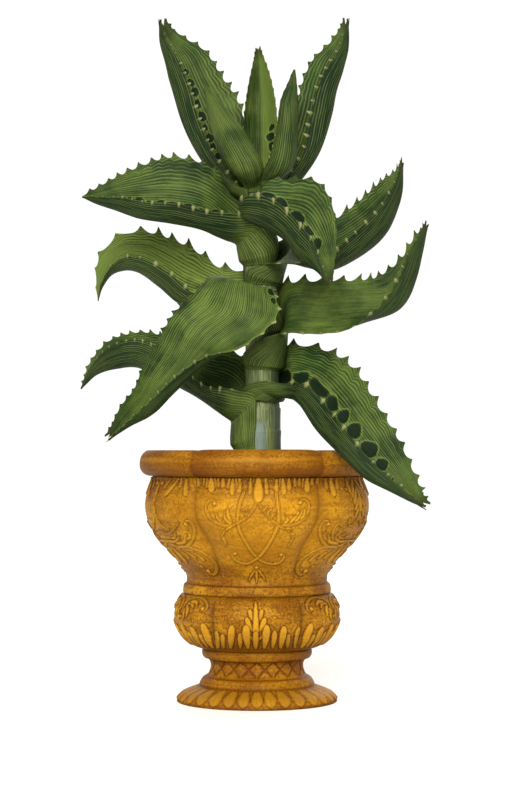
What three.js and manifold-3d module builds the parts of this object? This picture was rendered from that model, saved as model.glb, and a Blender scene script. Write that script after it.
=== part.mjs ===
// Potted aloe: a lobed ornamental pot, the soil in it, a stem and thirteen toothed leaves.
// Millimetres, +Z up. The origin is on the pot's axis, on the floor that it stands on.
import * as THREE from "three";
import { mergeVertices } from "three/addons/utils/BufferGeometryUtils.js";
import Module from "manifold-3d";

const wasm = await Module();
wasm.setup();

// Driving dimensions.
const POT_HEIGHT = 251;
const RIM_RADIUS = 117;
const WALL = 11;
const CAVITY_FLOOR = 52;
const SOIL_TOP = 233;
const SOIL_DOME = 5;
const STEM_FOOT = 208;
const STEM_TOP = 522;
const GAP = 0.35;
const TOOTH_HEIGHT = 6;
const MARGIN_THICKNESS = 1.4;
const LOBE_STEPS = 6;
const STEM_SIDES = 20;

// The pot's outside from the floor up: height, radius, and how far the seams between lobes sink in.
const POT_OUTSIDE = [
  [0, 79.5, 0],
  [5, 77.6, 0],
  [10, 69.5, 0],
  [15, 58.5, 0],
  [20, 56, 0],
  [25, 53, 0],
  [29, 48.6, 0],
  [35, 46.5, 0],
  [41, 48, 0],
  [45, 53, 0],
  [51, 54.8, 0.5],
  [54, 57, 1.5],
  [59, 66, 2.5],
  [65, 74, 4],
  [74, 80.5, 4.5],
  [86, 83.5, 4.5],
  [97, 81.5, 4],
  [107, 75.5, 2.5],
  [113, 72.5, 1.5],
  [122, 71.2, 1.5],
  [133, 75, 2.5],
  [145, 85, 4],
  [157, 96, 5],
  [169, 105, 5.5],
  [181, 111, 6],
  [193, 113.5, 6],
  [204, 112.5, 5],
  [213, 109, 3.5],
  [222, 105, 2],
  [226, 109, 2],
  [231, 115, 2],
  [237, RIM_RADIUS, 2],
  [245, 116, 2],
];

// The heights at which the cavity follows the outside, one wall's thickness inside it.
const CAVITY_HEIGHTS = [247, 233, 220, 205, 190, 172, 150, 125, 107, 86, 68, CAVITY_FLOOR];

// Where the seams between the six lobes lie, in degrees from the front, which faces -Y.
const SEAMS = [-33.5, 33.5, 90, 146.5, 213.5, 270];

// The stem's centre line and radius: height, radius, sideways drift of its centre.
const STEM = [
  [STEM_FOOT, 24, 0.5],
  [262, 22.5, 1],
  [300, 17, 5],
  [360, 16.5, 5],
  [450, 15.8, 3],
  [480, 15.5, 2.7],
  [505, 13, 2.3],
  [STEM_TOP, 8, 2],
];

// Each leaf clasps the stem with a sheath and runs on as a channelled blade.
// pitch: the distance between its teeth.
// turn: the side of the stem that the leaf leaves from, in degrees from +X towards +Y.
// sheath rows: half angle of the wrap, heights at the keel, left and right margins, flare.
// blade rows: left margin, keel and right margin of the inner face, from the base to the tip.
// swing: how far the blade is carried towards the back for each millimetre of its reach.
const LEAVES = [
  {
    name: "leaf_low_left",
    colour: 0x4b6a2c,
    pitch: 11,
    turn: 180,
    swing: 0.25,
    sheath: [
      [84, 250, 250, 256, 0],
      [80, 264, 282, 290, 2],
      [74, 278, 303, 325, 4.5],
    ],
    blade: [
      [[-24, -28, 310], [-27, -2, 288], [-16, 22, 345]],
      [[-51, -24, 314], [-50, -2, 307], [-53, 24, 352]],
      [[-91, -12, 348], [-91, -2, 327], [-90, 26, 366]],
      [[-124, -4, 362], [-123, 4, 341], [-126, 32, 371]],
      [[-152, 0, 354], [-149, 6, 338], [-155, 28, 361]],
      [[-168, 6, 338], [-165, 9, 331], [-171, 22, 342]],
    ],
    tip: [-181, 20, 314],
  },
  {
    name: "leaf_low_right",
    colour: 0x35562a,
    pitch: 18.5,
    turn: -36,
    sheath: [
      [172, 299, 300, 298, 0],
      [150, 301, 330, 309, 2],
      [80, 304, 350, 317, 4.5],
    ],
    blade: [
      [[33, -2, 355], [33, -30, 310], [27, -31, 316]],
      [[65, -28, 349], [46, -48, 303], [46, -58, 314]],
      [[94, -54, 329], [64, -74, 276], [70, -84, 288]],
      [[115, -78, 294], [86, -98, 252], [86, -108, 266]],
      [[134, -95, 261], [108, -110, 230], [109, -120, 238]],
      [[148, -110, 229], [131, -118, 214], [130, -126, 220]],
    ],
    tip: [154, -128, 198],
  },
  {
    name: "leaf_mid_right",
    colour: 0x3b5c2b,
    pitch: 15,
    turn: -10,
    sheath: [
      [172, 330, 336, 332, 0],
      [150, 336, 385, 346, 2],
      [80, 352, 410, 360, 4.5],
    ],
    blade: [
      [[29, 2, 417], [30, -10, 388], [28, -34, 366]],
      [[67, -16, 418], [65, -20, 389], [62, -46, 365]],
      [[98, -22, 418], [93, -26, 390], [89, -52, 369]],
      [[124, -26, 424], [137, -34, 396], [125, -54, 397]],
      [[143, -26, 440], [152, -36, 422], [141, -50, 424]],
      [[154, -28, 458], [159, -36, 443], [149, -44, 442]],
    ],
    tip: [167, -36, 469],
  },
  {
    name: "leaf_front_left",
    colour: 0x45652b,
    pitch: 18,
    turn: -115,
    flesh: 7,
    sheath: [
      [165, 364, 364, 364, 0],
      [130, 370, 374, 378, 2],
      [80, 388, 392, 400, 4.5],
    ],
    blade: [
      [[16, -38, 408], [-13, -46, 415], [-40, -24, 423]],
      [[18, -56, 379], [-20, -64, 382], [-65, -46, 400]],
      [[-15, -76, 350], [-47, -63, 361], [-82, -60, 381]],
      [[-50, -94, 339], [-66, -78, 335], [-96, -78, 353]],
      [[-78, -108, 319], [-88, -94, 309], [-108, -92, 331]],
      [[-101, -120, 296], [-106, -108, 288], [-116, -108, 308]],
      [[-119, -128, 279], [-122, -121, 277], [-128, -120, 291]],
    ],
    tip: [-137, -134, 262],
  },
  {
    name: "leaf_mid_left",
    colour: 0x496a2f,
    pitch: 22,
    turn: 165,
    swing: 0.35,
    sheath: [
      [120, 392, 392, 392, 0],
      [110, 396, 402, 406, 2],
      [80, 400, 408, 422, 4.5],
    ],
    blade: [
      [[-51, -14, 404], [-45, 2, 400], [-35, 18, 433]],
      [[-69, -12, 411], [-76, 6, 408], [-64, 26, 454]],
      [[-89, -10, 429], [-96, 10, 424], [-86, 32, 466]],
      [[-120, -6, 445], [-121, 14, 441], [-114, 36, 475]],
      [[-136, -2, 446], [-138, 16, 443], [-140, 38, 474]],
      [[-151, 4, 437], [-155, 20, 435], [-162, 36, 455]],
      [[-161, 14, 422], [-163, 22, 421], [-167, 30, 436]],
    ],
    tip: [-165, 24, 405],
  },
  {
    name: "leaf_high_right",
    colour: 0x34552a,
    pitch: 14.5,
    turn: 10,
    swing: 0.25,
    sheath: [
      [170, 414, 416, 416, 0],
      [140, 418, 438, 430, 2],
      [95, 428, 455, 434, 4.5],
    ],
    blade: [
      [[30, 16, 462], [33, -8, 450], [20, -38, 434]],
      [[52, 13, 470], [52, -8, 443], [46, -34, 436]],
      [[73, 12, 480], [72, -6, 440], [67, -28, 440]],
      [[96, 14, 497], [98, -4, 451], [87, -24, 457]],
      [[115, 18, 514], [123, 2, 471], [109, -18, 478]],
      [[131, 22, 529], [138, 6, 496], [128, -10, 500]],
      [[141, 22, 536], [145, 8, 514], [139, 0, 520]],
    ],
    tip: [149, 14, 541],
  },
  {
    name: "leaf_high_left",
    colour: 0x35562a,
    pitch: 15.5,
    turn: 195,
    sheath: [
      [170, 434, 436, 436, 0],
      [150, 442, 458, 452, 2],
      [90, 456, 482, 500, 4.5],
    ],
    blade: [
      [[-20, -32, 484], [-30, -6, 466], [-28, 12, 520]],
      [[-49, -38, 485], [-54, -14, 479], [-51, 4, 536]],
      [[-79, -40, 492], [-84, -16, 485], [-85, 0, 543]],
      [[-109, -38, 494], [-116, -16, 489], [-115, -4, 534]],
      [[-133, -34, 499], [-141, -18, 494], [-140, -10, 522]],
      [[-152, -28, 500], [-158, -20, 497], [-157, -14, 512]],
    ],
    tip: [-173, -22, 501],
  },
  {
    name: "leaf_front_right",
    colour: 0x2f4f27,
    pitch: 18,
    turn: -70,
    sheath: [
      [120, 470, 470, 470, 0],
      [100, 473, 480, 480, 2],
      [75, 476, 498, 494, 4.5],
    ],
    blade: [
      [[5, -28, 513], [-4, -36, 480], [-17, -32, 497]],
      [[32, -36, 516], [18, -46, 470], [5, -62, 497]],
      [[57, -46, 513], [36, -56, 458], [25, -72, 485]],
      [[71, -54, 494], [47, -64, 441], [42, -80, 466]],
      [[76, -62, 469], [56, -73, 431], [54, -86, 449]],
      [[76, -70, 442], [63, -79, 422], [61, -86, 431]],
    ],
    tip: [68, -84, 409],
  },
  {
    name: "leaf_top_left",
    colour: 0x2f5229,
    pitch: 15,
    turn: 150,
    sheath: [
      [70, 498, 498, 498, 0],
      [68, 502, 506, 506, 1],
    ],
    blade: [
      [[-20, 2, 516], [-22, 14, 512], [-6, 24, 520]],
      [[-45, 10, 550], [-49, 26, 550], [-8, 34, 564]],
      [[-59, 14, 585], [-67, 34, 587], [-20, 42, 607]],
      [[-69, 18, 618], [-78, 36, 620], [-36, 46, 632]],
      [[-81, 24, 647], [-87, 38, 648], [-55, 46, 660]],
      [[-92, 30, 667], [-95, 38, 667], [-76, 44, 673]],
    ],
    tip: [-99, 40, 685],
  },
  {
    name: "leaf_top_right",
    colour: 0x2f5229,
    pitch: 14,
    turn: 30,
    sheath: [
      [70, 498, 498, 498, 0],
      [68, 502, 506, 506, 1],
    ],
    blade: [
      [[10, 24, 520], [26, 14, 512], [24, 0, 516]],
      [[31, 34, 558], [55, 22, 551], [48, 6, 552]],
      [[41, 40, 602], [69, 26, 591], [55, 10, 590]],
      [[48, 44, 630], [75, 30, 620], [63, 14, 620]],
      [[59, 46, 652], [83, 34, 643], [75, 22, 642]],
      [[74, 44, 666], [89, 38, 660], [85, 30, 659]],
    ],
    tip: [93, 40, 686],
  },
  {
    name: "leaf_heart_back",
    colour: 0x4f7032,
    pitch: 12,
    turn: 90,
    flesh: 4,
    sheath: [
      [75, 507, 507, 507, 0],
      [70, 511, 514, 514, 1],
    ],
    blade: [
      [[-14, 10, 530], [2, 24, 526], [20, 10, 530]],
      [[-14, 14, 563], [3, 28, 563], [20, 14, 566]],
      [[-11, 18, 599], [3, 30, 600], [18, 18, 601]],
      [[-7, 22, 625], [2, 30, 626], [13, 22, 627]],
      [[-3, 25, 644], [2, 29, 644], [7, 25, 646]],
    ],
    tip: [1, 28, 657],
  },
  {
    name: "leaf_heart_left",
    colour: 0x43662d,
    pitch: 12,
    turn: -135,
    flesh: 4,
    sheath: [
      [50, 507, 507, 507, 0],
      [50, 511, 513, 513, 1],
    ],
    blade: [
      [[5, -26, 534], [-12, -32, 527], [-31, -16, 535]],
      [[-7, -24, 556], [-25, -32, 551], [-41, -14, 558]],
      [[-21, -20, 577], [-35, -26, 572], [-47, -12, 577]],
      [[-36, -16, 596], [-44, -20, 593], [-50, -12, 596]],
    ],
    tip: [-52, -10, 615],
  },
  {
    name: "leaf_heart_right",
    colour: 0x43662d,
    pitch: 12,
    turn: -50,
    flesh: 4,
    sheath: [
      [50, 507, 507, 507, 0],
      [50, 511, 513, 513, 1],
    ],
    blade: [
      [[36, -12, 536], [25, -32, 529], [12, -26, 537]],
      [[40, -12, 569], [31, -29, 566], [20, -24, 569]],
      [[40, -12, 599], [33, -23, 596], [25, -20, 600]],
      [[39, -13, 614], [36, -19, 613], [31, -17, 614]],
    ],
    tip: [37, -15, 628],
  },
];
const FLESH = 6.5;
const SHEATH_SKIN = 3.5;

const radians = THREE.MathUtils.degToRad;

// The value in a column of a table at a height in its first column, by straight lines.
function tableAt(table, height, column) {
  const rows = table[0][0] < table[1][0] ? table : [...table].reverse();
  const last = rows.length - 1;
  if (height <= rows[0][0]) return rows[0][column];
  if (height >= rows[last][0]) return rows[last][column];
  const i = rows.findIndex((row) => row[0] > height);
  const share = (height - rows[i - 1][0]) / (rows[i][0] - rows[i - 1][0]);
  return THREE.MathUtils.lerp(rows[i - 1][column], rows[i][column], share);
}

// A solid from a BufferGeometry whose position attribute and index form one closed surface.
function solidFrom(geometry) {
  const merged = mergeVertices(geometry, 1e-3);
  const solid = new wasm.Manifold(
    new wasm.Mesh({
      numProp: 3,
      vertProperties: new Float32Array(merged.attributes.position.array),
      triVerts: new Uint32Array(merged.index.array),
    }),
  );
  return solid;
}

// The largest of a solid's separate bodies.
function largestBody(solid) {
  const bodies = solid.decompose();
  return bodies.reduce((best, body) => (body.volume() > best.volume() ? body : best));
}

function geometryFrom(solid) {
  const mesh = solid.getMesh();
  const geometry = new THREE.BufferGeometry();
  geometry.setAttribute("position", new THREE.BufferAttribute(mesh.vertProperties, 3));
  geometry.setIndex(new THREE.BufferAttribute(mesh.triVerts, 1));
  geometry.computeVertexNormals();
  return geometry;
}

// A closed surface through a stack of rings, each the same number of points turning
// anticlockwise seen from above, with a fan to a centre point at both ends.
function ringSurface(rings, firstCentre, lastCentre) {
  const count = rings[0].length;
  const points = rings.flat();
  const faces = [];
  const first = points.length;
  points.push(firstCentre, lastCentre);
  for (let k = 0; k < count; k += 1) {
    const next = (k + 1) % count;
    faces.push(first, next, k);
    for (let i = 0; i + 1 < rings.length; i += 1) {
      const low = i * count;
      const high = low + count;
      faces.push(low + k, low + next, high + next, low + k, high + next, high + k);
    }
    const top = (rings.length - 1) * count;
    faces.push(first + 1, top + k, top + next);
  }
  return surface(points, faces);
}

function surface(points, faces) {
  const geometry = new THREE.BufferGeometry();
  const flat = points.flatMap((point) => [point.x, point.y, point.z]);
  geometry.setAttribute("position", new THREE.Float32BufferAttribute(flat, 3));
  geometry.setIndex(faces);
  return geometry;
}

// The directions of the pot's corners: each lobe is split in equal steps from seam to seam.
// fullness is 0 in a seam and 1 in the middle of a lobe.
function lobeStations() {
  const stations = [];
  SEAMS.forEach((seam, i) => {
    const span = (i + 1 < SEAMS.length ? SEAMS[i + 1] : SEAMS[0] + 360) - seam;
    for (let k = 0; k < LOBE_STEPS; k += 1) {
      const across = k / LOBE_STEPS;
      stations.push({
        angle: radians(seam + span * across - 90),
        fullness: 1 - Math.abs(2 * across - 1) ** 3,
      });
    }
  });
  return stations;
}

function ring(stations, height, radius, seamDepth) {
  return stations.map(({ angle, fullness }) => {
    const r = radius - seamDepth * (1 - fullness);
    return new THREE.Vector3(r * Math.cos(angle), r * Math.sin(angle), height);
  });
}

function cavityRadius(height) {
  return tableAt(POT_OUTSIDE, height, 1) - WALL;
}

function potGeometry() {
  const stations = lobeStations();
  const outside = POT_OUTSIDE.map(([z, radius, depth]) => ring(stations, z, radius, depth));
  const brim = ring(stations, POT_HEIGHT, RIM_RADIUS - WALL / 2, 1);
  const inside = CAVITY_HEIGHTS.map((z) => ring(stations, z, cavityRadius(z), 0));
  const rings = [...outside, brim, ...inside];
  return ringSurface(
    rings,
    new THREE.Vector3(0, 0, 0),
    new THREE.Vector3(0, 0, CAVITY_FLOOR),
  );
}

// The soil fills the cavity, rises a little towards the stem and has a socket for its foot.
function soilGeometry(stem) {
  const stations = lobeStations();
  const levels = CAVITY_HEIGHTS.filter((z) => z < SOIL_TOP - 4).reverse();
  const rings = levels.map((z, i) => ring(stations, i ? z : z + GAP, cavityRadius(z) - GAP, 0));
  const edge = SOIL_TOP - 3;
  const nearest = levels[levels.length - 1];
  const share = (edge - nearest) / (CAVITY_HEIGHTS[1] - nearest);
  const above = cavityRadius(CAVITY_HEIGHTS[1]);
  const edgeRadius = THREE.MathUtils.lerp(cavityRadius(nearest), above, share) - GAP;
  rings.push(ring(stations, edge, edgeRadius, 0));
  rings.push(ring(stations, SOIL_TOP, edgeRadius - 12, 0));
  rings.push(ring(stations, SOIL_TOP + SOIL_DOME - 1, 45, 0));
  const body = ringSurface(
    rings,
    new THREE.Vector3(0, 0, CAVITY_FLOOR + GAP),
    new THREE.Vector3(0, 0, SOIL_TOP + SOIL_DOME),
  );
  return geometryFrom(largestBody(solidFrom(body).subtract(stem)));
}

// The stem, thickened all round by extra.
function stemGeometry(extra) {
  const rings = STEM.map(([z, radius, drift], i) => {
    const lift = i === 0 ? -extra : 0;
    return Array.from({ length: STEM_SIDES }, (_, k) => {
      const angle = (2 * Math.PI * k) / STEM_SIDES;
      const r = radius + extra;
      return new THREE.Vector3(drift + r * Math.cos(angle), r * Math.sin(angle), z + lift);
    });
  });
  const foot = new THREE.Vector3(STEM[0][2], 0, STEM_FOOT - extra);
  const top = new THREE.Vector3(STEM[STEM.length - 1][2], 0, STEM_TOP + 3 + extra);
  return ringSurface(rings, foot, top);
}

// One cross-section of a sheath: an arc round the stem, from the left margin to the right.
function sheathSection(turn, [wrap, keelZ, leftZ, rightZ, flare], across, spans) {
  return across.map((v) => {
    const marginZ = v < 0 ? leftZ : rightZ;
    const z = keelZ + (marginZ - keelZ) * v * v;
    const angle = radians(turn - v * wrap);
    const flat = Math.cos(radians(wrap / spans));
    const r = (tableAt(STEM, z, 1) + 0.4 + flare) / flat;
    return new THREE.Vector3(tableAt(STEM, z, 2) + r * Math.cos(angle), r * Math.sin(angle), z);
  });
}

// A point of a blade, carried towards the back in step with its reach past the stem.
function swung([x, y, z], swing) {
  return new THREE.Vector3(x, y + swing * Math.max(Math.abs(x) - STEM[0][1], 0), z);
}

// One cross-section of a blade: the parabola through its left margin, keel and right margin.
function bladeSection(row, swing, across) {
  const [left, keel, right] = row.map((p) => swung(p, swing));
  const slope = right.clone().sub(left).multiplyScalar(0.5);
  const curve = left.clone().add(right).multiplyScalar(0.5).sub(keel);
  return across.map((v) =>
    keel.clone().addScaledVector(slope, v).addScaledVector(curve, v * v),
  );
}

// All the cross-sections of a leaf, and the index of the first one on the blade.
function leafSections(leaf, across, spans) {
  const rows = [];
  const last = leaf.sheath.length - 1;
  const steps = 3;
  for (let k = 0; k <= last * steps; k += 1) {
    const i = Math.min(Math.floor(k / steps), last - 1);
    const share = k / steps - i;
    const row = leaf.sheath[i].map((value, column) =>
      THREE.MathUtils.lerp(value, leaf.sheath[i + 1][column], share),
    );
    rows.push(sheathSection(leaf.turn, row, across, spans));
  }
  const collar = rows.length - 1;
  const swing = leaf.swing ?? 0;
  leaf.blade.forEach((row) => rows.push(bladeSection(row, swing, across)));
  const end = rows[rows.length - 1];
  const centre = end[(end.length - 1) / 2];
  const tip = swung(leaf.tip, swing);
  rows.push(end.map((p) => tip.clone().addScaledVector(p.clone().sub(centre), 0.06)));
  return { rows, collar };
}

// Hermite curve values at a share of the way between two knots a length apart.
function hermite(a, b, slopeA, slopeB, share, length) {
  const s2 = share * share;
  const s3 = s2 * share;
  return a.clone().multiplyScalar(2 * s3 - 3 * s2 + 1)
    .addScaledVector(slopeA, (s3 - 2 * s2 + share) * length)
    .addScaledVector(b, 3 * s2 - 2 * s3)
    .addScaledVector(slopeB, (s3 - s2) * length);
}

// Smooth rails through the cross-sections, with the mean distance between them as knots.
function leafRails(rows) {
  const knots = [0];
  for (let i = 1; i < rows.length; i += 1) {
    const total = rows[i].reduce((sum, p, j) => sum + p.distanceTo(rows[i - 1][j]), 0);
    knots.push(knots[i - 1] + total / rows[i].length);
  }
  const rise = (i, j) =>
    rows[i + 1][j].clone().sub(rows[i][j]).divideScalar(knots[i + 1] - knots[i]);
  const slope = (i, j) => {
    if (i === 0) return rise(0, j);
    if (i === rows.length - 1) return rise(i - 1, j);
    const before = knots[i] - knots[i - 1];
    const after = knots[i + 1] - knots[i];
    return rise(i - 1, j).multiplyScalar(after).addScaledVector(rise(i, j), before)
      .divideScalar(before + after);
  };
  const at = (distance) => {
    const found = knots.findIndex((knot) => knot > distance);
    const i = found < 0 ? rows.length - 2 : Math.max(found - 1, 0);
    const length = knots[i + 1] - knots[i];
    const share = (distance - knots[i]) / length;
    return rows[i].map((p, j) =>
      hermite(p, rows[i + 1][j], slope(i, j), slope(i + 1, j), share, length),
    );
  };
  return { knots, at };
}

// The distances along a leaf at which the solid has a cross-section: four on the sheath,
// then one at each tooth and one at each hollow between teeth, then the tip.
function leafStations(pitch, collarDistance, length) {
  const stations = [0, 0.35, 0.7].map((share) => share * collarDistance);
  const half = pitch / 2;
  for (let d = collarDistance; d < length - half * 0.7; d += half) stations.push(d);
  stations.push(length);
  return stations;
}

// How thick a leaf is at a distance along it and a place across it.
function leafThickness(leaf, distance, v, collarDistance, length) {
  const { clamp, lerp } = THREE.MathUtils;
  const grown = clamp((distance - collarDistance) / 40, 0, 1);
  const taper = clamp((length - distance) / 60, 0, 1) ** 0.7;
  const feather = clamp(distance / 10, 0.25, 1);
  const middle = lerp(SHEATH_SKIN, leaf.flesh ?? FLESH, grown) * taper * feather;
  const edge = MARGIN_THICKNESS * feather;
  return edge + Math.max(middle - edge, 0) * (1 - Math.abs(v) ** lerp(8, 2.4, grown));
}

// A leaf as a closed surface: the inner face from the rails, the outer face a thickness
// behind it, and margins that stand out at each tooth. extra thickens it all round.
function leafSurface(leaf, extra) {
  const spans = leaf.sheath[0][0] > 100 ? 8 : 6;
  const across = Array.from({ length: spans + 1 }, (_, j) => (2 * j) / spans - 1);
  const { rows, collar } = leafSections(leaf, across, spans);
  const { knots, at } = leafRails(rows);
  const length = knots[knots.length - 1];
  const stations = leafStations(leaf.pitch, knots[collar], length);
  const toothHeight = Math.min(TOOTH_HEIGHT, leaf.pitch / 3);
  const points = [];
  stations.forEach((distance, i) => {
    const section = at(distance);
    const ahead = at(Math.min(distance + 1, length));
    const behind = at(Math.max(distance - 1, 0));
    const inner = [];
    const outer = [];
    section.forEach((point, j) => {
      const along = ahead[j].clone().sub(behind[j]);
      const side = section[Math.min(j + 1, spans)].clone().sub(section[Math.max(j - 1, 0)]);
      const normal = side.clone().cross(along).normalize();
      const thickness = leafThickness(leaf, distance, across[j], knots[collar], length);
      const base = point.clone();
      if (i === 0) base.z -= extra;
      if (j === 0 || j === spans) {
        const isTooth = i >= 3 && (i - 3) % 2 === 0;
        const room = Math.min((distance - knots[collar]) / 25, (length - distance) / 25, 1);
        const reach = (isTooth ? toothHeight * Math.max(room, 0) : 0) + extra;
        base.addScaledVector(side.normalize(), j === 0 ? -reach : reach);
      }
      inner.push(base.clone().addScaledVector(normal, extra));
      outer.push(base.clone().addScaledVector(normal, -thickness - extra));
    });
    points.push([...inner, ...outer.reverse()]);
  });
  return tubeSurface(points);
}

// A closed tube through rings of points, with flat ends between its two faces.
function tubeSurface(rings) {
  const count = rings[0].length;
  const faces = [];
  for (let i = 0; i + 1 < rings.length; i += 1) {
    for (let k = 0; k < count; k += 1) {
      const next = (k + 1) % count;
      const low = i * count;
      const high = low + count;
      faces.push(low + k, high + next, high + k, low + k, low + next, high + next);
    }
  }
  const far = (rings.length - 1) * count;
  for (let k = 0; k < count / 2 - 1; k += 1) {
    const opposite = count - 1 - k;
    faces.push(k, opposite - 1, k + 1, k, opposite, opposite - 1);
    faces.push(far + k, far + k + 1, far + opposite - 1);
    faces.push(far + k, far + opposite - 1, far + opposite);
  }
  return surface(rings.flat(), faces);
}

function part(name, geometry, colour, roughness) {
  const material = new THREE.MeshStandardMaterial({ color: colour, roughness, metalness: 0 });
  const mesh = new THREE.Mesh(geometry, material);
  mesh.name = name;
  return mesh;
}

const group = new THREE.Group();
const stemGap = solidFrom(stemGeometry(GAP));
group.add(part("pot", potGeometry(), 0xbe8429, 0.55));
group.add(part("soil", soilGeometry(stemGap), 0x3a2a1c, 0.95));
group.add(part("stem", stemGeometry(0), 0x66704a, 0.7));

// From the top down, each leaf is cut back where the stem or a leaf above it takes the room.
let taken = stemGap;
[...LEAVES].reverse().forEach((leaf) => {
  const cut = largestBody(solidFrom(leafSurface(leaf, 0)).subtract(taken));
  group.add(part(leaf.name, geometryFrom(cut), leaf.colour, 0.6));
  [GAP, 0].forEach((extra) => {
    taken = taken.add(solidFrom(leafSurface(leaf, extra)));
  });
});

export default group;
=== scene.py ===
"""A potted aloe: a lobed ornamental pot, the soil in it, a stem and thirteen toothed leaves.

Every visible piece is a closed surface worked out with numpy, in millimetres, in the CAD
frame: +Z up, the pot's axis at X = Y = 0, its front facing -Y. Sizes turn to metres only
when a mesh is made.
"""

import bpy
import numpy as np
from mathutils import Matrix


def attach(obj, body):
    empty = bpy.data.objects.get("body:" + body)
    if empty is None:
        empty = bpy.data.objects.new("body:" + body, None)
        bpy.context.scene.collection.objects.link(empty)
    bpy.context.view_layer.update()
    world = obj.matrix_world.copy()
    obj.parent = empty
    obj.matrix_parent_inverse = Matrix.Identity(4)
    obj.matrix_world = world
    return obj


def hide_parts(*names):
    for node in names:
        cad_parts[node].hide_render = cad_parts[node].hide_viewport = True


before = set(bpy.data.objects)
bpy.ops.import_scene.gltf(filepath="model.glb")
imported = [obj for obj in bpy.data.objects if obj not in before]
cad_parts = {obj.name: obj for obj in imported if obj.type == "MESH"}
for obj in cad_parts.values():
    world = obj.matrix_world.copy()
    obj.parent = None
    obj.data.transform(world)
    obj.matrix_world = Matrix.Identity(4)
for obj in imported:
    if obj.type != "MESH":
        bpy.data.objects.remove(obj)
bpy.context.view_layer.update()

MM = 0.001

# The pot, in millimetres and in degrees from the front.
WALL = 10.0
CAVITY_FLOOR = 52.0
WALL_COLUMNS = 720
FOOT_COLUMNS = 540
RIM_COLUMNS = 480
ROW_SPACING = 1.0
SIDE_LOBE_MIDDLE = 61.75
FRONT_REACH = 36
SEAM_WIDTH = 2.6
CREASE_GROOVE = 0.4

# The band of painted shade beside the ornament, and the painted shade along the middle of a strap.
RELIEF_SHADE_WIDTH = 1.0
LINE_GROOVE = 0.35
STRAP_SHADE = 0.6

# Outside curves of the pot as (radius, height), each smooth between its two creases.
FOOT_CURVES = [
    [(79.0, 0.0), (79.3, 2.0), (78.0, 5.2), (73.5, 9.4), (66.5, 12.6), (60.5, 14.9), (57.0, 16.6)],
    [(57.0, 16.6), (57.4, 18.2), (56.2, 21.0), (54.2, 24.0), (51.8, 25.6)],
    [(51.8, 25.6), (48.9, 27.6), (47.0, 31.5), (46.3, 36.0), (47.0, 40.2), (49.6, 43.2)],
    [(49.6, 43.2), (52.9, 44.2), (54.6, 47.0), (55.0, 50.4), (54.0, 53.0), (52.4, 54.0)],
]
BULGE_CURVES = [
    [(52.6, 53.2), (57.4, 54.0), (62.0, 55.6), (66.6, 57.8), (71.0, 61.2), (75.0, 65.2),
     (78.6, 70.4), (81.4, 75.6), (83.2, 80.6), (84.2, 86.0), (84.1, 90.6), (83.0, 95.4),
     (81.0, 100.0), (78.2, 104.4), (75.6, 107.0), (72.6, 108.4)],
    [(72.6, 108.4), (73.9, 109.2), (74.2, 111.4), (74.0, 114.6), (73.3, 117.4), (71.6, 118.6)],
]
BELLY_CURVES = [
    [(71.6, 118.2), (70.8, 120.8), (70.9, 124.0), (72.0, 128.0), (75.0, 133.0), (85.0, 145.0),
     (96.0, 157.0), (105.0, 169.0), (111.0, 181.0), (113.5, 193.0), (112.6, 204.0),
     (109.4, 213.0), (105.6, 221.4), (104.4, 225.6)],
]
RIM_TOP = 251.4
RIM_INSIDE = 104
RIM_CENTRE = (107.5, 236.0)
RIM_SEAM_LEVEL = 237.0
RIM_LOOP = [
    (100.0, 225.4), (105.6, 225.0), (110.4, 225.8), (114.4, 228.4), (116.8, 232.6),
    (117.2, 237.6), (116.4, 243.0), (113.8, 247.4), (110.0, 250.2), (106.8, 250.3),
    (104.9, 247.2), (104.2, 240.0), (103.6, 232.0), (99.4, 227.0),
]

# By height, how deep the seams between lobes are and how dark the painted shade is.
BULGE_SEAMS = ([53, 60, 70, 90, 104, 109], [0, 2.5, 4.5, 4.5, 2.5, 0.4])
BULGE_PAINTED_SHADE = ([53, 64, 82, 98, 108, 112, 116], [0.6, 0.5, 0.05, 0.1, 0.45, 0.0, 0.2])
BELLY_SEAMS = ([118, 124, 145, 170, 193, 213, 222], [0.4, 1.5, 4.5, 6.0, 6.0, 3.5, 1.5])
BELLY_PAINTED_SHADE = ([118, 126, 142, 150, 196, 212, 224], [0.45, 0.35, 0.15, 0.0, 0.0, 0.35, 0.5])

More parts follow.
